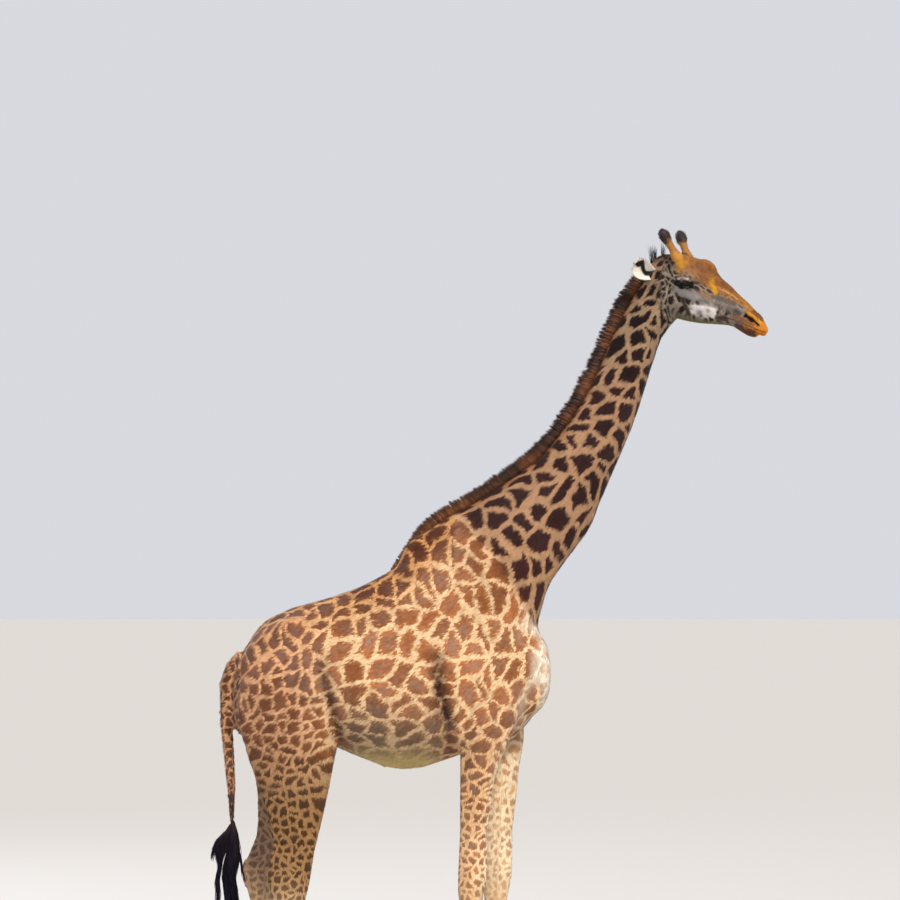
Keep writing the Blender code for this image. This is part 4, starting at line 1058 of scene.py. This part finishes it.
def lock_mesh(name, spines, widths, heights, faces_up, roots_on_map):
    """Joined locks. Spines are n by k + 1 places, with the tip last, and widths and heights are n by k."""
    n, rings = widths.shape
    along = unit(spines[:, 1:] - spines[:, :-1])
    across = unit(np.cross(np.atleast_2d(faces_up)[:, None], along))
    up = np.cross(along, across)
    middle, half = spines[:, :-1], across * widths[:, :, None] / 2
    top = middle + up * heights[:, :, None]
    body = np.stack([middle - half, middle + half, top], axis=2).reshape(n, rings * 3, 3)
    points = np.concatenate([body, spines[:, -1:]], axis=1)
    sides = ((0, 1), (1, 2), (2, 0))
    faces = [(0, 2, 1)]
    for low in range(0, 3 * rings - 3, 3):
        high = low + 3
        for one, other in sides:
            faces += [(low + one, low + other, high + other), (low + one, high + other, high + one)]
    last, tip = 3 * rings - 3, 3 * rings
    faces += [(last + one, last + other, tip) for one, other in sides]
    each = 3 * rings + 1
    corners = (np.array(faces)[None] + (np.arange(n) * each)[:, None, None]).reshape(-1)
    mesh = bpy.data.meshes.new(name)
    mesh.vertices.add(n * each)
    mesh.vertices.foreach_set("co", points.astype(np.float32).ravel())
    mesh.loops.add(len(corners))
    mesh.loops.foreach_set("vertex_index", corners.astype(np.int32))
    mesh.polygons.add(len(corners) // 3)
    mesh.polygons.foreach_set("loop_start", np.arange(0, len(corners), 3, dtype=np.int32))
    mesh.update(calc_edges=True)
    spread = np.array([(column / 2, row / rings) for row in range(rings) for column in range(3)] + [(0.5, 1.0)])
    on_map = (roots_on_map[:, None] + 0.003 * (spread - 0.5)[None]).reshape(-1, 2)
    layer = mesh.uv_layers.new(name="OFBake")
    layer.data.foreach_set("uv", on_map[corners].astype(np.float32).ravel())
    obj = bpy.data.objects.new(name, mesh)
    bpy.context.scene.collection.objects.link(obj)
    return obj


def lit_like(locks, normals):
    """Lights each lock nearly as the surface it grows from is lit, or the locks would look like scales."""
    lit = unit(normals + 0.16 * chance.normal(0, 1, normals.shape))
    each = len(locks.data.vertices) // len(lit)
    locks.data.normals_split_custom_set_from_vertices(np.repeat(lit, each, axis=0))


def lock_colours(root_colours, tip_colours, rings):
    """Colours that run from root to tip, one for each vertex of each lock."""
    steps = np.append(np.repeat(np.arange(rings), 3), rings) / rings
    mixed = root_colours[:, None] * (1 - steps)[None, :, None] + tip_colours[:, None] * steps[None, :, None]
    return mixed.reshape(-1, 3)


def hair_piece(locks, root_colours, tip_colours, material, slot, *nodes):
    """Colours and finishes joined locks."""
    rings = (len(locks.data.vertices) // len(root_colours) - 1) // 3
    keep(locks, "ground", lock_colours(root_colours, tip_colours, rings))
    finish_piece(locks, material, slot, *nodes)


chance = np.random.default_rng(11)
lash_material = painted_material("black_lashes", 0.45)
UPPER_LASHES, LASHES = 100, 140
for side, sign in SIDES.items():
    upper = np.linspace(-0.96, 1.0, UPPER_LASHES)
    lower = np.linspace(-0.8, 0.9, LASHES - UPPER_LASHES)
    u = np.concatenate([upper, lower]) * SLIT_HALF + chance.normal(0, 0.0005, LASHES)
    is_upper = np.arange(LASHES) < UPPER_LASHES
    v = np.where(is_upper, 1, -1) * (lid_height(u) + 0.0012)
    out = np.sqrt(np.clip((EYE_RADIUS + 0.002) ** 2 - u**2 - v**2, 0.0001, None)) - 0.001
    length = np.where(is_upper, 0.032, 0.014) * chance.uniform(0.75, 1.15, LASHES)
    fan = u / SLIT_HALF * 0.75 + chance.normal(0, 0.12, LASHES)
    steps = np.array([0, 0.35, 0.7, 1.0])
    drop = np.where(is_upper, -0.95, -0.55)[:, None] * (steps - 0.45 * steps**2) * 1.15
    spine_u = u[:, None] + length[:, None] * steps * fan[:, None]
    spine_v = v[:, None] + length[:, None] * drop
    spine_out = out[:, None] + length[:, None] * steps * 0.72
    spines = np.stack(out_of_eye(spine_u, spine_v, spine_out, sign), axis=2)
    spines = out_of_head(spines.reshape(-1, 3)).reshape(LASHES, 4, 3)
    widths = 0.0018 * np.tile([1.0, 0.8, 0.5], (LASHES, 1))
    root_map = np.stack([0.1 + 0.8 * np.arange(LASHES) / LASHES, np.full(LASHES, 0.3)], axis=1)
    lashes = lock_mesh(f"lashes_{side}", spines, widths, widths * 0.8, HEAD_AXES[2], root_map)
    black = np.tile(linear("#0b090b"), (LASHES, 1))
    hair_piece(lashes, black, black, lash_material, "eyes")

# %% [markdown]
# The ears are thin leaf-shaped cups, white inside with a dark hook painted in the hollow of the cup, and fringed.
# Each is a finer copy of its solid, painted by how far a point is from the root and from the middle line. The horns
# are bone under skin and hair: golden shafts, worn dark knobs and a ruff of black hair round them.

# %% Ears and horns
def ear_frame(side):
    """The ear's root, the way it points, the way it opens and its sideways axis, in the world."""
    sign = SIDES[side]
    points = {1: Vector((0.30, 0.60, 0.88)), -1: Vector((-0.33, -0.93, 0.10))}[sign].normalized()
    opens = {1: Vector((0.90, 0.30, -0.30)), -1: Vector((0.90, -0.42, 0.10))}[sign]
    opens = (opens - opens.dot(points) * points).normalized()
    turn = HEAD.to_3x3()
    root = HEAD @ Vector((0.032, sign * 0.070, -0.002))
    return tuple(np.array(v) for v in (root, turn @ points, turn @ opens, turn @ points.cross(opens)))


def finer_copy(node, name):
    """A smooth copy of a solid."""
    obj = copy_of_solid(node)
    obj.name = name
    apply_modifier(obj, "SUBSURF", levels=2)
    return obj


ear_velvet = painted_material("ear_velvet", 0.85, 160.0, 0.0015)
ear_fringe = painted_material("ear_fringe", 0.7)
EAR_LONG, EAR_HALF = 0.200, 0.064
# The dark hook inside, in shares of the ear's length and half its width.
HOOK = np.array([(0.70, 0.30), (0.60, 0.62), (0.46, 0.36), (0.35, 0.06), (0.24, -0.14), (0.05, 0.00)])
for side, sign in SIDES.items():
    ear = finer_copy(f"ear_{side}", f"ear_skin_{side}")
    root, points_to, opens, across = ear_frame(side)
    # The tip is rounded off.
    rows = places_of(ear) - root
    reach = rows @ points_to
    beyond = (reach - 0.150).clip(0)
    wider = 0.30 * smooth_step(0.140, 0.180, reach) * (rows @ across)
    move_to(ear, places_of(ear) - 0.40 * beyond[:, None] * points_to + wider[:, None] * across)
    rows = places_of(ear) - root
    t, s = rows @ points_to / EAR_LONG, rows @ across / EAR_HALF
    within = smooth_step(-0.15, 0.15, normals_of(ear) @ opens)
    hook_side = 1 if side == "right" else -1
    spots = np.stack([t * EAR_LONG, s * hook_side * EAR_HALF], axis=1)
    away = path_distance(spots, HOOK * (EAR_LONG, EAR_HALF))
    blob = np.hypot((t - 0.60) * EAR_LONG, (s * hook_side - 0.42) * EAR_HALF)
    dark = within * fall(0.0, 0.006, np.minimum(away - 0.009, blob - 0.019))
    halo = within * bell((away - 0.019) / 0.005)
    colours = np.tile(linear("#cdbb9c"), (len(t), 1))
    for share, colour in (
        (within, "#f3ede2"), (0.35 * halo * (t > 0.4), "#d8a860"), (dark, "#120d0e"),
        (within * fall(0.02, 0.12, t) * 0.6, "#8d7d6c"), ((1 - within) * smooth_step(0.55, 0.9, t), "#efe6d6"),
    ):
        lay(colours, share, colour)
    keep(ear, "ground", colours)
    finish_piece(ear, ear_velvet, "ears", f"ear_{side}")

    # The fringe: hairs along the rim and out of the cup, towards the tip and the opening.
    rim = (np.abs(within - 0.5) < 0.45) & (t > 0.12)
    cup = (within > 0.9) & (t > 0.1)
    chosen = np.concatenate([
        chance.choice(np.nonzero(where)[0], hairs) for where, hairs in ((rim, 260), (dark > 0.5, 160), (cup, 220))
    ])
    n = len(chosen)
    roots = places_of(ear)[chosen] + chance.normal(0, 0.0012, (n, 3))
    way = points_to * 0.8 + opens * 0.35 + np.sign(s[chosen])[:, None] * across * 0.45
    way = unit(way + chance.normal(0, 0.18, (n, 3)))
    length = chance.uniform(0.008, 0.018, n)[:, None]
    bend = unit(way + 0.5 * points_to)
    spines = np.stack([roots, roots + way * length * 0.5, roots + (way * 0.5 + bend * 0.5) * length], axis=1)
    widths = np.tile([0.0013, 0.0009], (n, 1))
    root_map = np.stack([0.1 + 0.8 * t[chosen].clip(0, 1), 0.5 + 0.3 * s[chosen].clip(-1, 1)], axis=1)
    fringe = lock_mesh(f"ear_fringe_{side}", spines, widths, widths * 0.7, opens, root_map)
    own = colours[chosen] * chance.uniform(0.85, 1.1, (n, 1))
    hair_piece(fringe, own, own, ear_fringe, "ears")
    lit_like(fringe, normals_of(ear)[chosen])

horn_skin = painted_material("horn_skin", 0.7, 120.0, 0.002)
horn_hair = painted_material("horn_hair", 0.75)
for side, sign in SIDES.items():
    horn = finer_copy(f"horn_{side}", f"horn_skin_{side}")
    foot, tip = (
        np.array(HEAD @ Vector((a, sign * b, c))) for a, b, c in ((0.140, 0.052, 0.118), (0.002, 0.097, 0.218))
    )
    axis = unit(tip - foot)
    # The foot is drawn in, so that it sinks into the skin without a rim.
    rows = places_of(horn) - foot
    t = rows @ axis / np.linalg.norm(tip - foot)
    narrow = 0.62 + 0.38 * smooth_step(-0.02, 0.20, t) - 0.20 * bell((t - 0.50) / 0.22)
    straight = (rows @ axis)[:, None] * axis
    move_to(horn, foot + straight + (rows - straight) * narrow[:, None])
    shake = np.array([noise.noise(v.co * 45) for v in horn.data.vertices])
    colours = np.tile(linear("#a8702c"), (len(t), 1))
    # The foot of the near right horn is painted lit and that of the far left one in shade: painted light and shade.
    for share, colour in (
        (fall(0.15, 0.45, t + 0.2 * shake) * 0.8, "#c08426" if side == "right" else "#9c6a34"),
        (smooth_step(0.30, 0.60, t + 0.3 * shake) * 0.5, "#8a5a2c"),
        (smooth_step(0.68, 0.80, t + 0.16 * shake), "#22141a"),
        # The knob's top is lighter and mauve: partly its skin, partly a painted highlight of its shine.
        (smooth_step(0.97, 1.06, t + 0.1 * shake) * 0.6, "#4c3440"),
    ):
        lay(colours, share, colour)
    keep(horn, "ground", colours)
    finish_piece(horn, horn_skin, "horns", f"horn_{side}")

    # Short hairs up the shaft, and longer black ones round the knob.
    places, normals = places_of(horn), normals_of(horn)
    chosen = np.concatenate([
        chance.choice(np.nonzero(where)[0], hairs) for where, hairs in ((t < 0.75, 900), (t >= 0.72, 700))
    ])
    n, long_hair = len(chosen), np.arange(len(chosen)) >= 900
    way = unit(axis + normals[chosen] * np.where(long_hair, 0.75, 0.22)[:, None] + chance.normal(0, 0.12, (n, 3)))
    length = np.where(long_hair, chance.uniform(0.007, 0.014, n), chance.uniform(0.006, 0.010, n))
    roots = places[chosen] + chance.normal(0, 0.0015, (n, 3)) - normals[chosen] * 0.0015
    spines = np.stack([roots, roots + way * length[:, None]], axis=1)
    widths = np.full((n, 1), 0.0018)
    around = np.arctan2((places[chosen] - foot) @ HEAD_AXES[1], (places[chosen] - foot) @ HEAD_AXES[0])
    root_map = np.stack([0.1 + 0.7 * t[chosen].clip(0, 1.1), 0.5 + 0.12 * around], axis=1)
    hair = lock_mesh(f"horn_hair_{side}", spines, widths, widths * 0.6, normals[chosen], root_map)
    own = colours[chosen] * chance.uniform(0.85, 1.20, (n, 1))
    hair_piece(hair, own, own, horn_hair, "horns")
    lit_like(hair, normals[chosen])

# %% [markdown]
# A hoof is horn that grows down from the coronet, so it is ringed, dark, and a little worn and dusty at
# its lower edge. Its two toes come from the solids. Edges are rounded by a bevel and not by subdivision,
# which would lift the flat soles off the floor.

# %% Hooves
hoof_horn = painted_material("dark_hoof_horn", 0.5, 70.0, 0.001)
hoof_place = add_node(hoof_horn, "TexCoord").outputs["Object"]
hoof_rings = add_node(hoof_horn, "TexWave", {"bands_direction": "Z"}, Vector=hoof_place, Scale=28.5, Distortion=0.6)
hoof_relief = add_node(hoof_horn, "Bump", Height=hoof_rings.outputs["Fac"], Strength=0.5, Distance=0.0012)
connect(hoof_horn.node_tree.nodes["Principled BSDF"], Normal=hoof_relief)
for node in [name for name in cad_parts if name.startswith("hoof_")]:
    hoof = copy_of_solid(node)
    hoof.name = f"horn_of_{node}"
    # The wall slopes in to the pastern.
    rows = places_of(hoof)
    pair = node.removesuffix("inner").removesuffix("outer")
    foot_middle = np.mean([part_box(pair + toe) for toe in ("inner", "outer")], axis=(0, 1))
    top = smooth_step(0.03, 0.11, rows[:, 2])[:, None]
    move_to(hoof, rows - top * (rows - foot_middle) * (0.26, 0.12, 0.0))
    apply_modifier(hoof, "BEVEL", width=0.013, segments=4, limit_method="ANGLE", angle_limit=math.radians(30))
    on_whole_mesh(hoof, bpy.ops.mesh.subdivide, number_cuts=1, smoothness=0.0)
    z = places_of(hoof)[:, 2]
    colours = np.tile(linear("#332a26"), (len(z), 1))
    lay(colours, fall(0.0, 0.03, z) * 0.5, "#6a5c50")
    keep(hoof, "ground", colours)
    finish_piece(hoof, hoof_horn, "hooves", node)

# %% [markdown]
# The mane is a brush of stiff hair, 6 to 8 cm long, from the poll to the withers. Each lock stands square
# to the nape and leans back at its tip, and the locks clump, so that the edge is ragged and not cut. It is
# red-brown with darker tips, darker in stretches along the nape set by a slow noise, and golden towards the
# withers.

# %% The mane
NAPE = np.array([
    (0.010, 2.570, 0.010), (0.080, 2.645, 0.032), (0.150, 2.725, 0.048), (0.215, 2.795, 0.056),
    (0.290, 2.848, 0.060), (0.400, 2.905, 0.060), (0.515, 2.975, 0.060), (0.655, 3.070, 0.064),
    (0.784, 3.165, 0.066), (0.895, 3.295, 0.066), (1.003, 3.455, 0.066), (1.083, 3.615, 0.066),
    (1.160, 3.800, 0.066), (1.240, 3.960, 0.066), (1.300, 4.060, 0.062), (1.345, 4.120, 0.045),
])


def along_rows(rows, share):
    """The rows' values at shares of the way along them, by length in their first and last-but-one columns."""
    reach = np.append(0, np.cumsum(np.linalg.norm(np.diff(rows[:, :2], axis=0), axis=1)))
    return np.stack([np.interp(share * reach[-1], reach, column) for column in rows.T], axis=1)


MANE_LOCKS = 9500
share = np.sort(chance.uniform(0.0, 1.0, MANE_LOCKS))
nape = along_rows(NAPE, share)
before, after = along_rows(NAPE, (share - 0.02).clip(0)), along_rows(NAPE, (share + 0.02).clip(None, 1))
along_nape = unit((after - before)[:, :2])
flat = np.zeros(MANE_LOCKS)
square = np.column_stack([-along_nape[:, 1], flat, along_nape[:, 0]])
forward = np.column_stack([along_nape[:, 0], flat, along_nape[:, 1]])
row = chance.uniform(-1, 1, MANE_LOCKS)
# Neighbouring locks make clumps, longest in the middle, whose tips are drawn together.
CLUMPS = 150
ends = np.cumsum(chance.uniform(0.3, 1.7, CLUMPS))
ends /= ends[-1]
in_clump = np.searchsorted(ends, share).clip(0, CLUMPS - 1)
middle, half = (np.append(0, ends[:-1]) + ends) / 2, np.diff(ends, prepend=0) / 2
off_middle = (share - middle[in_clump]) / half[in_clump]
longer = chance.normal(0, 0.05, CLUMPS)[in_clump] - 0.20 * off_middle**2
lighter = chance.uniform(0.62, 1.38, CLUMPS)[in_clump]
nape_length = np.linalg.norm(np.diff(NAPE[:, :2], axis=0), axis=1).sum()
drawn_in = -off_middle * half[in_clump] * nape_length * chance.uniform(0.0, 1.0, MANE_LOCKS)
slow = np.array([noise.noise(Vector((s * 21, r * 0.5, 8.1))) for s, r in zip(share, row)]) * 1.8
roots = np.column_stack([nape[:, 0] + BELLY_X, row * 0.013, nape[:, 1]]) - square * 0.012
length = 0.012 + nape[:, 2] * (1.06 + longer + 0.06 * slow + chance.uniform(-0.22, 0.03, MANE_LOCKS))
sideways = np.array([0.0, 1.0, 0.0]) * (row * 0.16 + chance.normal(0, 0.05, MANE_LOCKS))[:, None]
lean = chance.normal(0.16, 0.06, MANE_LOCKS)[:, None]
spines = np.stack([
    roots + length[:, None] * (k * square + k * sideways - k * k * lean * forward)
    + k * k * drawn_in[:, None] * forward for k in (0.0, 0.35, 0.7, 1.0)
], axis=1)
widths = 0.0036 * chance.uniform(0.7, 1.3, MANE_LOCKS)[:, None] * np.array([[0.8, 1.0, 0.7]])
root_map = np.stack([0.03 + 0.94 * share, 0.5 + 0.2 * row], axis=1)
mane = lock_mesh("mane_locks", spines, widths, widths * 0.5, np.array([0.0, 1.0, 0.0]) + 0.2 * forward, root_map)
stripe, gold = smooth_step(-0.25, 0.35, slow), fall(0.10, 0.42, share)
root_colour, tip_colour = (np.tile(linear(colour), (MANE_LOCKS, 1)) for colour in ("#50301e", "#3a1f18"))
lay(root_colour, stripe, "#7e4926")
lay(root_colour, 0.7 * gold, "#9c6230")
lay(tip_colour, 0.5 * gold, "#6a3a20")
tip_colour *= (0.7 + 0.5 * stripe)[:, None]
own_shade = chance.uniform(0.75, 1.25, (MANE_LOCKS, 1)) * lighter[:, None]
mane_hair = painted_material("coarse_mane_hair", 0.6)
hair_piece(mane, root_colour * own_shade, tip_colour * own_shade, mane_hair, "mane", "mane")

# Dark sprigs of longer hair on the poll, each fanning out from one root.
skin_tree = tree_of(skin)
sprigs = []
for x, b, top, sweep in ((0.856, 0.000, 4.282, -0.35), (0.872, -0.020, 4.262, 0.15), (0.866, 0.022, 4.285, 0.02),
                         (0.910, -0.004, 4.292, 0.12), (0.914, 0.014, 4.275, 0.25)):
    y = POLL[1] + b
    found = skin_tree.ray_cast(Vector((x, y, 4.6)), Vector((0, 0, -1)))[0]
    root_z = found.z if found else 4.19
    for _ in range(13):
        start = np.array([x, y, root_z - 0.006]) + np.append(chance.normal(0, 0.0022, 2), 0)
        end = np.array([
            x + sweep * 0.03 + chance.normal(0, 0.007), y + chance.normal(0, 0.006), top - chance.uniform(0, 0.020)
        ])
        sag = np.array([chance.normal(0, 0.003), chance.normal(0, 0.003), 0])
        sprigs.append([start, start * 0.65 + end * 0.35 + sag, start * 0.3 + end * 0.7 + sag, end])
sprigs = np.array(sprigs)
count = len(sprigs)
widths = 0.0021 * np.tile([1.0, 0.9, 0.6], (count, 1))
sprig_map = np.stack([0.1 + 0.8 * np.arange(count) / count, np.full(count, 0.5)], axis=1)
poll_hair = lock_mesh("poll_sprigs", sprigs, widths, widths * 0.7, (0.0, 1.0, 0.3), sprig_map)
dark = np.tile(linear("#2c1c24"), (count, 1))
hair_piece(poll_hair, dark, dark, mane_hair, "mane")

# %% [markdown]
# The tail ends in a whisk of blue-black hair, long enough to reach flies on the flank. Its locks start all
# round the dock, follow it down with a slow wave, and end at different heights, so the whisk is full in its
# middle and thin at its tip. Three thinner locks part from it, one of them in a wide arch.

# %% The tail's tuft
# Each lock is a line of lengths along the body and heights, with half its thickness.
WHISK = np.array([
    (-0.824, 1.262, 0.014), (-0.815, 1.200, 0.026), (-0.819, 1.109, 0.040), (-0.828, 1.054, 0.042),
    (-0.838, 0.999, 0.040), (-0.843, 0.955, 0.039), (-0.834, 0.900, 0.040), (-0.826, 0.840, 0.042),
    (-0.832, 0.750, 0.036), (-0.838, 0.660, 0.026), (-0.834, 0.580, 0.008),
])
SIDE_LOCK = np.array([
    (-0.830, 1.245, 0.012), (-0.843, 1.207, 0.030), (-0.862, 1.165, 0.050), (-0.878, 1.127, 0.052),
    (-0.889, 1.090, 0.034), (-0.892, 1.052, 0.016), (-0.889, 1.020, 0.011), (-0.897, 0.985, 0.013),
    (-0.904, 0.940, 0.011), (-0.898, 0.880, 0.011), (-0.902, 0.820, 0.008), (-0.894, 0.760, 0.004),
])
OUTER_LOCK = np.array([
    (-0.860, 1.205, 0.010), (-0.896, 1.160, 0.014), (-0.918, 1.118, 0.012), (-0.930, 1.075, 0.007),
    (-0.927, 1.040, 0.003),
])
FRONT_LOCK = np.array([
    (-0.800, 1.140, 0.010), (-0.782, 1.060, 0.006), (-0.772, 0.990, 0.005), (-0.758, 0.930, 0.003),
])
WHISK_WIDTHS = [0.6, 0.9, 1.0, 1.0, 0.9, 0.7, 0.4]  # of a hair, from its root to near its tip


def whisk_spines(path, count, first, longest, wave):
    """Hairs that start at shares of the path up to first, and follow it down inside its thickness."""
    begin = chance.uniform(0.0, 1.0, count) ** 1.4 * first
    end = np.clip(begin + chance.uniform(0.5 * longest, longest, count), None, 0.995)
    turn, phase = chance.uniform(0, 2 * math.pi, (2, count))
    inside = np.sqrt(chance.uniform(0.0, 1.0, count))
    spines = []
    for k in np.linspace(0, 1, len(WHISK_WIDTHS) + 1):
        reach = begin + (end - begin) * k
        at = along_rows(path, reach)
        inner = at[:, 2] * inside * (0.55 + 0.45 * k)
        swing = wave * k * np.sin(phase + 9 * reach) + wave * k**3 * np.cos(phase)
        x = at[:, 0] + BELLY_X + inner * np.cos(turn) + swing
        y = inner * 0.62 * np.sin(turn) + 0.6 * wave * k * np.cos(phase * 1.7)
        spines.append(np.stack([x, y, at[:, 1]], axis=1))
    facing = np.stack([np.cos(turn), np.sin(turn), np.zeros(count)], axis=1)
    root_map = np.stack([0.05 + 0.9 * begin, 0.05 + 0.9 * turn / (2 * math.pi)], axis=1)
    return np.stack(spines, axis=1), facing, root_map


WHISK_HAIRS = 1250
parts = [
    whisk_spines(WHISK, WHISK_HAIRS, 0.55, 0.62, 0.008),
    whisk_spines(SIDE_LOCK, 560, 0.40, 0.60, 0.006),
    whisk_spines(OUTER_LOCK, 120, 0.25, 0.85, 0.004),
    whisk_spines(FRONT_LOCK, 50, 0.20, 0.95, 0.004),
]
spines, facing, root_map = (np.concatenate(part) for part in zip(*parts))
count = len(spines)
widths = 0.0075 * chance.uniform(0.6, 1.2, count)[:, None] * np.array([WHISK_WIDTHS])
widths[WHISK_HAIRS:] *= 0.7
whisk = lock_mesh("tail_whisk", spines, widths, widths * 0.45, facing, root_map)
shade = chance.uniform(0.5, 2.4, (count, 1))
root_colour = linear("#0a0714") * shade
tip_colour = root_colour * 1.2
lay(root_colour, 0.7 * fall(0.05, 0.09, root_map[:, 0]), "#3a231a")  # the first hairs have brown roots
tail_hair = painted_material("blue_black_tail_hair", 0.5, Specular_IOR_Level=0.15)
hair_piece(whisk, root_colour, tip_colour, tail_hair, "tail_tuft", "tail_tuft")

# %% [markdown]
# The coat is short and flat: most of it is the skin's own bump, and small tufts over all of it break the
# outline and the patches' edges. They point back and down the body, down the legs, and from the nose
# towards the neck. They are about 2.4 cm long on the trunk, 8 mm on the feet and 5 mm on the muzzle. Roots
# are strewn evenly by area, and every tuft takes all the fields of the skin at its root, so both carry one
# pattern.

# %% The coat's tufts
skin.data.calc_loop_triangles()
triangles = rows_of(skin.data.loop_triangles, "vertices", 3, int)
skin_points, skin_normals = places_of(skin), normals_of(skin)
one, two, three = (skin_points[corner] for corner in triangles.T)
areas = np.linalg.norm(np.cross(two - one, three - one), axis=1) / 2
middles = (one + two + three) / 3


def lie_of_coat(points):
    """The way the hair points, before it is laid along the skin."""
    way = np.tile([-0.80, 0.0, -0.60], (len(points), 1))
    for share, wanted in (
        (neck_share(points), np.array([-0.66, 0.0, -0.75])),
        (fall(1.45, 1.75, points[:, 2]), np.array([-0.12, 0.0, -1.0])),
        (head_share(points), -HEAD_AXES[0] - 0.25 * HEAD_AXES[2]),
    ):
        way += share[:, None] * (wanted - way)
    return way


def laid(way, normals):
    """The directions laid flat along the surface."""
    return unit(way - (way * normals).sum(axis=1)[:, None] * normals)


def tube_map(points, axis):
    """Places on a map of a tube about its own middle line: round it and along it."""
    axis = unit(np.array(axis, float))
    side = np.array([0.0, 1.0, 0.0])
    reach = points @ axis
    offsets = [across - np.polyval(np.polyfit(reach, across, 3), reach)
               for across in (points @ side, points @ np.cross(axis, side))]
    turn = np.arctan2(*offsets) / (2 * math.pi) + 0.5
    return 0.02 + 0.96 * turn, 0.02 + 0.96 * (reach - reach.min()) / np.ptp(reach)


def coat_piece(name, slot, count, chosen, long, wide, rise, axis, legs=False):
    """Tufts over the triangles of the skin that the mask picks."""
    weight = areas * chosen
    picked = chance.choice(len(areas), count, p=weight / weight.sum())
    share = chance.uniform(0, 1, (count, 2))
    share = np.where(share.sum(axis=1)[:, None] > 1, 1 - share, share)
    share = np.column_stack([1 - share.sum(axis=1), share])

    def at_root(values):
        return (values[triangles[picked]] * share[:, :, None]).sum(axis=1)

    roots, normals = at_root(skin_points), unit(at_root(skin_normals))
    length, width, lift = (np.broadcast_to(f(roots) if callable(f) else f, count) for f in (long, wide, rise))
    length = length * chance.uniform(0.75, 1.2, count)
    way = laid(lie_of_coat(roots), normals)
    way = laid(unit(way + 0.20 * chance.normal(0, 1, (count, 3))), normals)
    tips = roots + way * length[:, None] + normals * (lift * chance.uniform(0.6, 1.15, count))[:, None]
    spines = np.stack([roots - normals * 0.0006, tips], axis=1)
    if legs:
        left = roots[:, 1] > 0
        u, v = np.empty(count), np.empty(count)
        for half, at in ((left, 0.0), (~left, 0.5)):
            turn, height = tube_map(roots[half], axis)
            u[half], v[half] = 0.5 * turn + at, height
    else:
        u, v = tube_map(roots, axis)
    widths = width[:, None] * chance.uniform(0.75, 1.2, (count, 1))
    coat = lock_mesh(name, spines, widths, widths * 0.15, normals, np.stack([u, v], axis=1))
    shade = chance.uniform(0.84, 1.16, count)
    keep_fields(coat, *(np.repeat(values, 4, axis=0) for values in (*map(at_root, SKIN_FIELDS), shade)))
    finish_piece(coat, coat_tufts, slot)
    lit_like(coat, normals + 0.10 * way)


coat_tufts = coat_material("coat_tufts", 0.25, 60.0)
is_face = head_share(middles) > 0.5
is_neck = (neck_share(middles) > 0.5) & ~is_face
is_low = (middles[:, 2] < 1.62) & (middles[:, 0] > -1.29) & (is_leg(middles) | (middles[:, 2] < 1.50))
is_fore = is_low & (middles[:, 0] > BELLY_X)
is_hind = is_low & (middles[:, 0] < BELLY_X)
is_trunk = ~(is_face | is_neck | is_low)
eye_slit = np.zeros(len(middles), bool)
for sign in SIDES.values():
    u, v, out = eye_frame(*in_head(middles).T, sign)
    eye_slit |= (np.abs(u) < 0.036) & (np.abs(v) < 0.019) & (out > -0.05)


def leg_length(points):
    return np.interp(points[:, 2], [0.1, 0.5, 1.2, 1.6], [0.008, 0.012, 0.016, 0.020])


def leg_rise(points):
    return 0.17 * leg_length(points)


def face_length(points):
    return np.interp(in_head(points)[:, 0], [0.05, 0.20, 0.55, 0.72], [0.014, 0.010, 0.007, 0.005])


coat_piece("coat_trunk", "coat", 49000, is_trunk, 0.024, 0.0060, 0.0050, (1, 0, 0))
coat_piece("coat_neck", "coat", 40000, is_neck, 0.021, 0.0050, 0.0048, (0.62, 0, 0.785))
for name, count, chosen in (("coat_forelegs", 20000, is_fore), ("coat_hindlegs", 24000, is_hind)):
    coat_piece(name, "legs", count, chosen, leg_length, 0.0036, leg_rise, (0, 0, 1), legs=True)
coat_piece("coat_head", "face", 34000, is_face & ~eye_slit, face_length, 0.0020, 0.0016, -HEAD_AXES[0])

# %% [markdown]
# At the end the guide, the copy of the solids kept to measure from, is removed. The finished
# animal has to fit the box of the solids, apart from a few millimetres of hair.

# %% The end
bpy.data.objects.remove(guide, do_unlink=True)
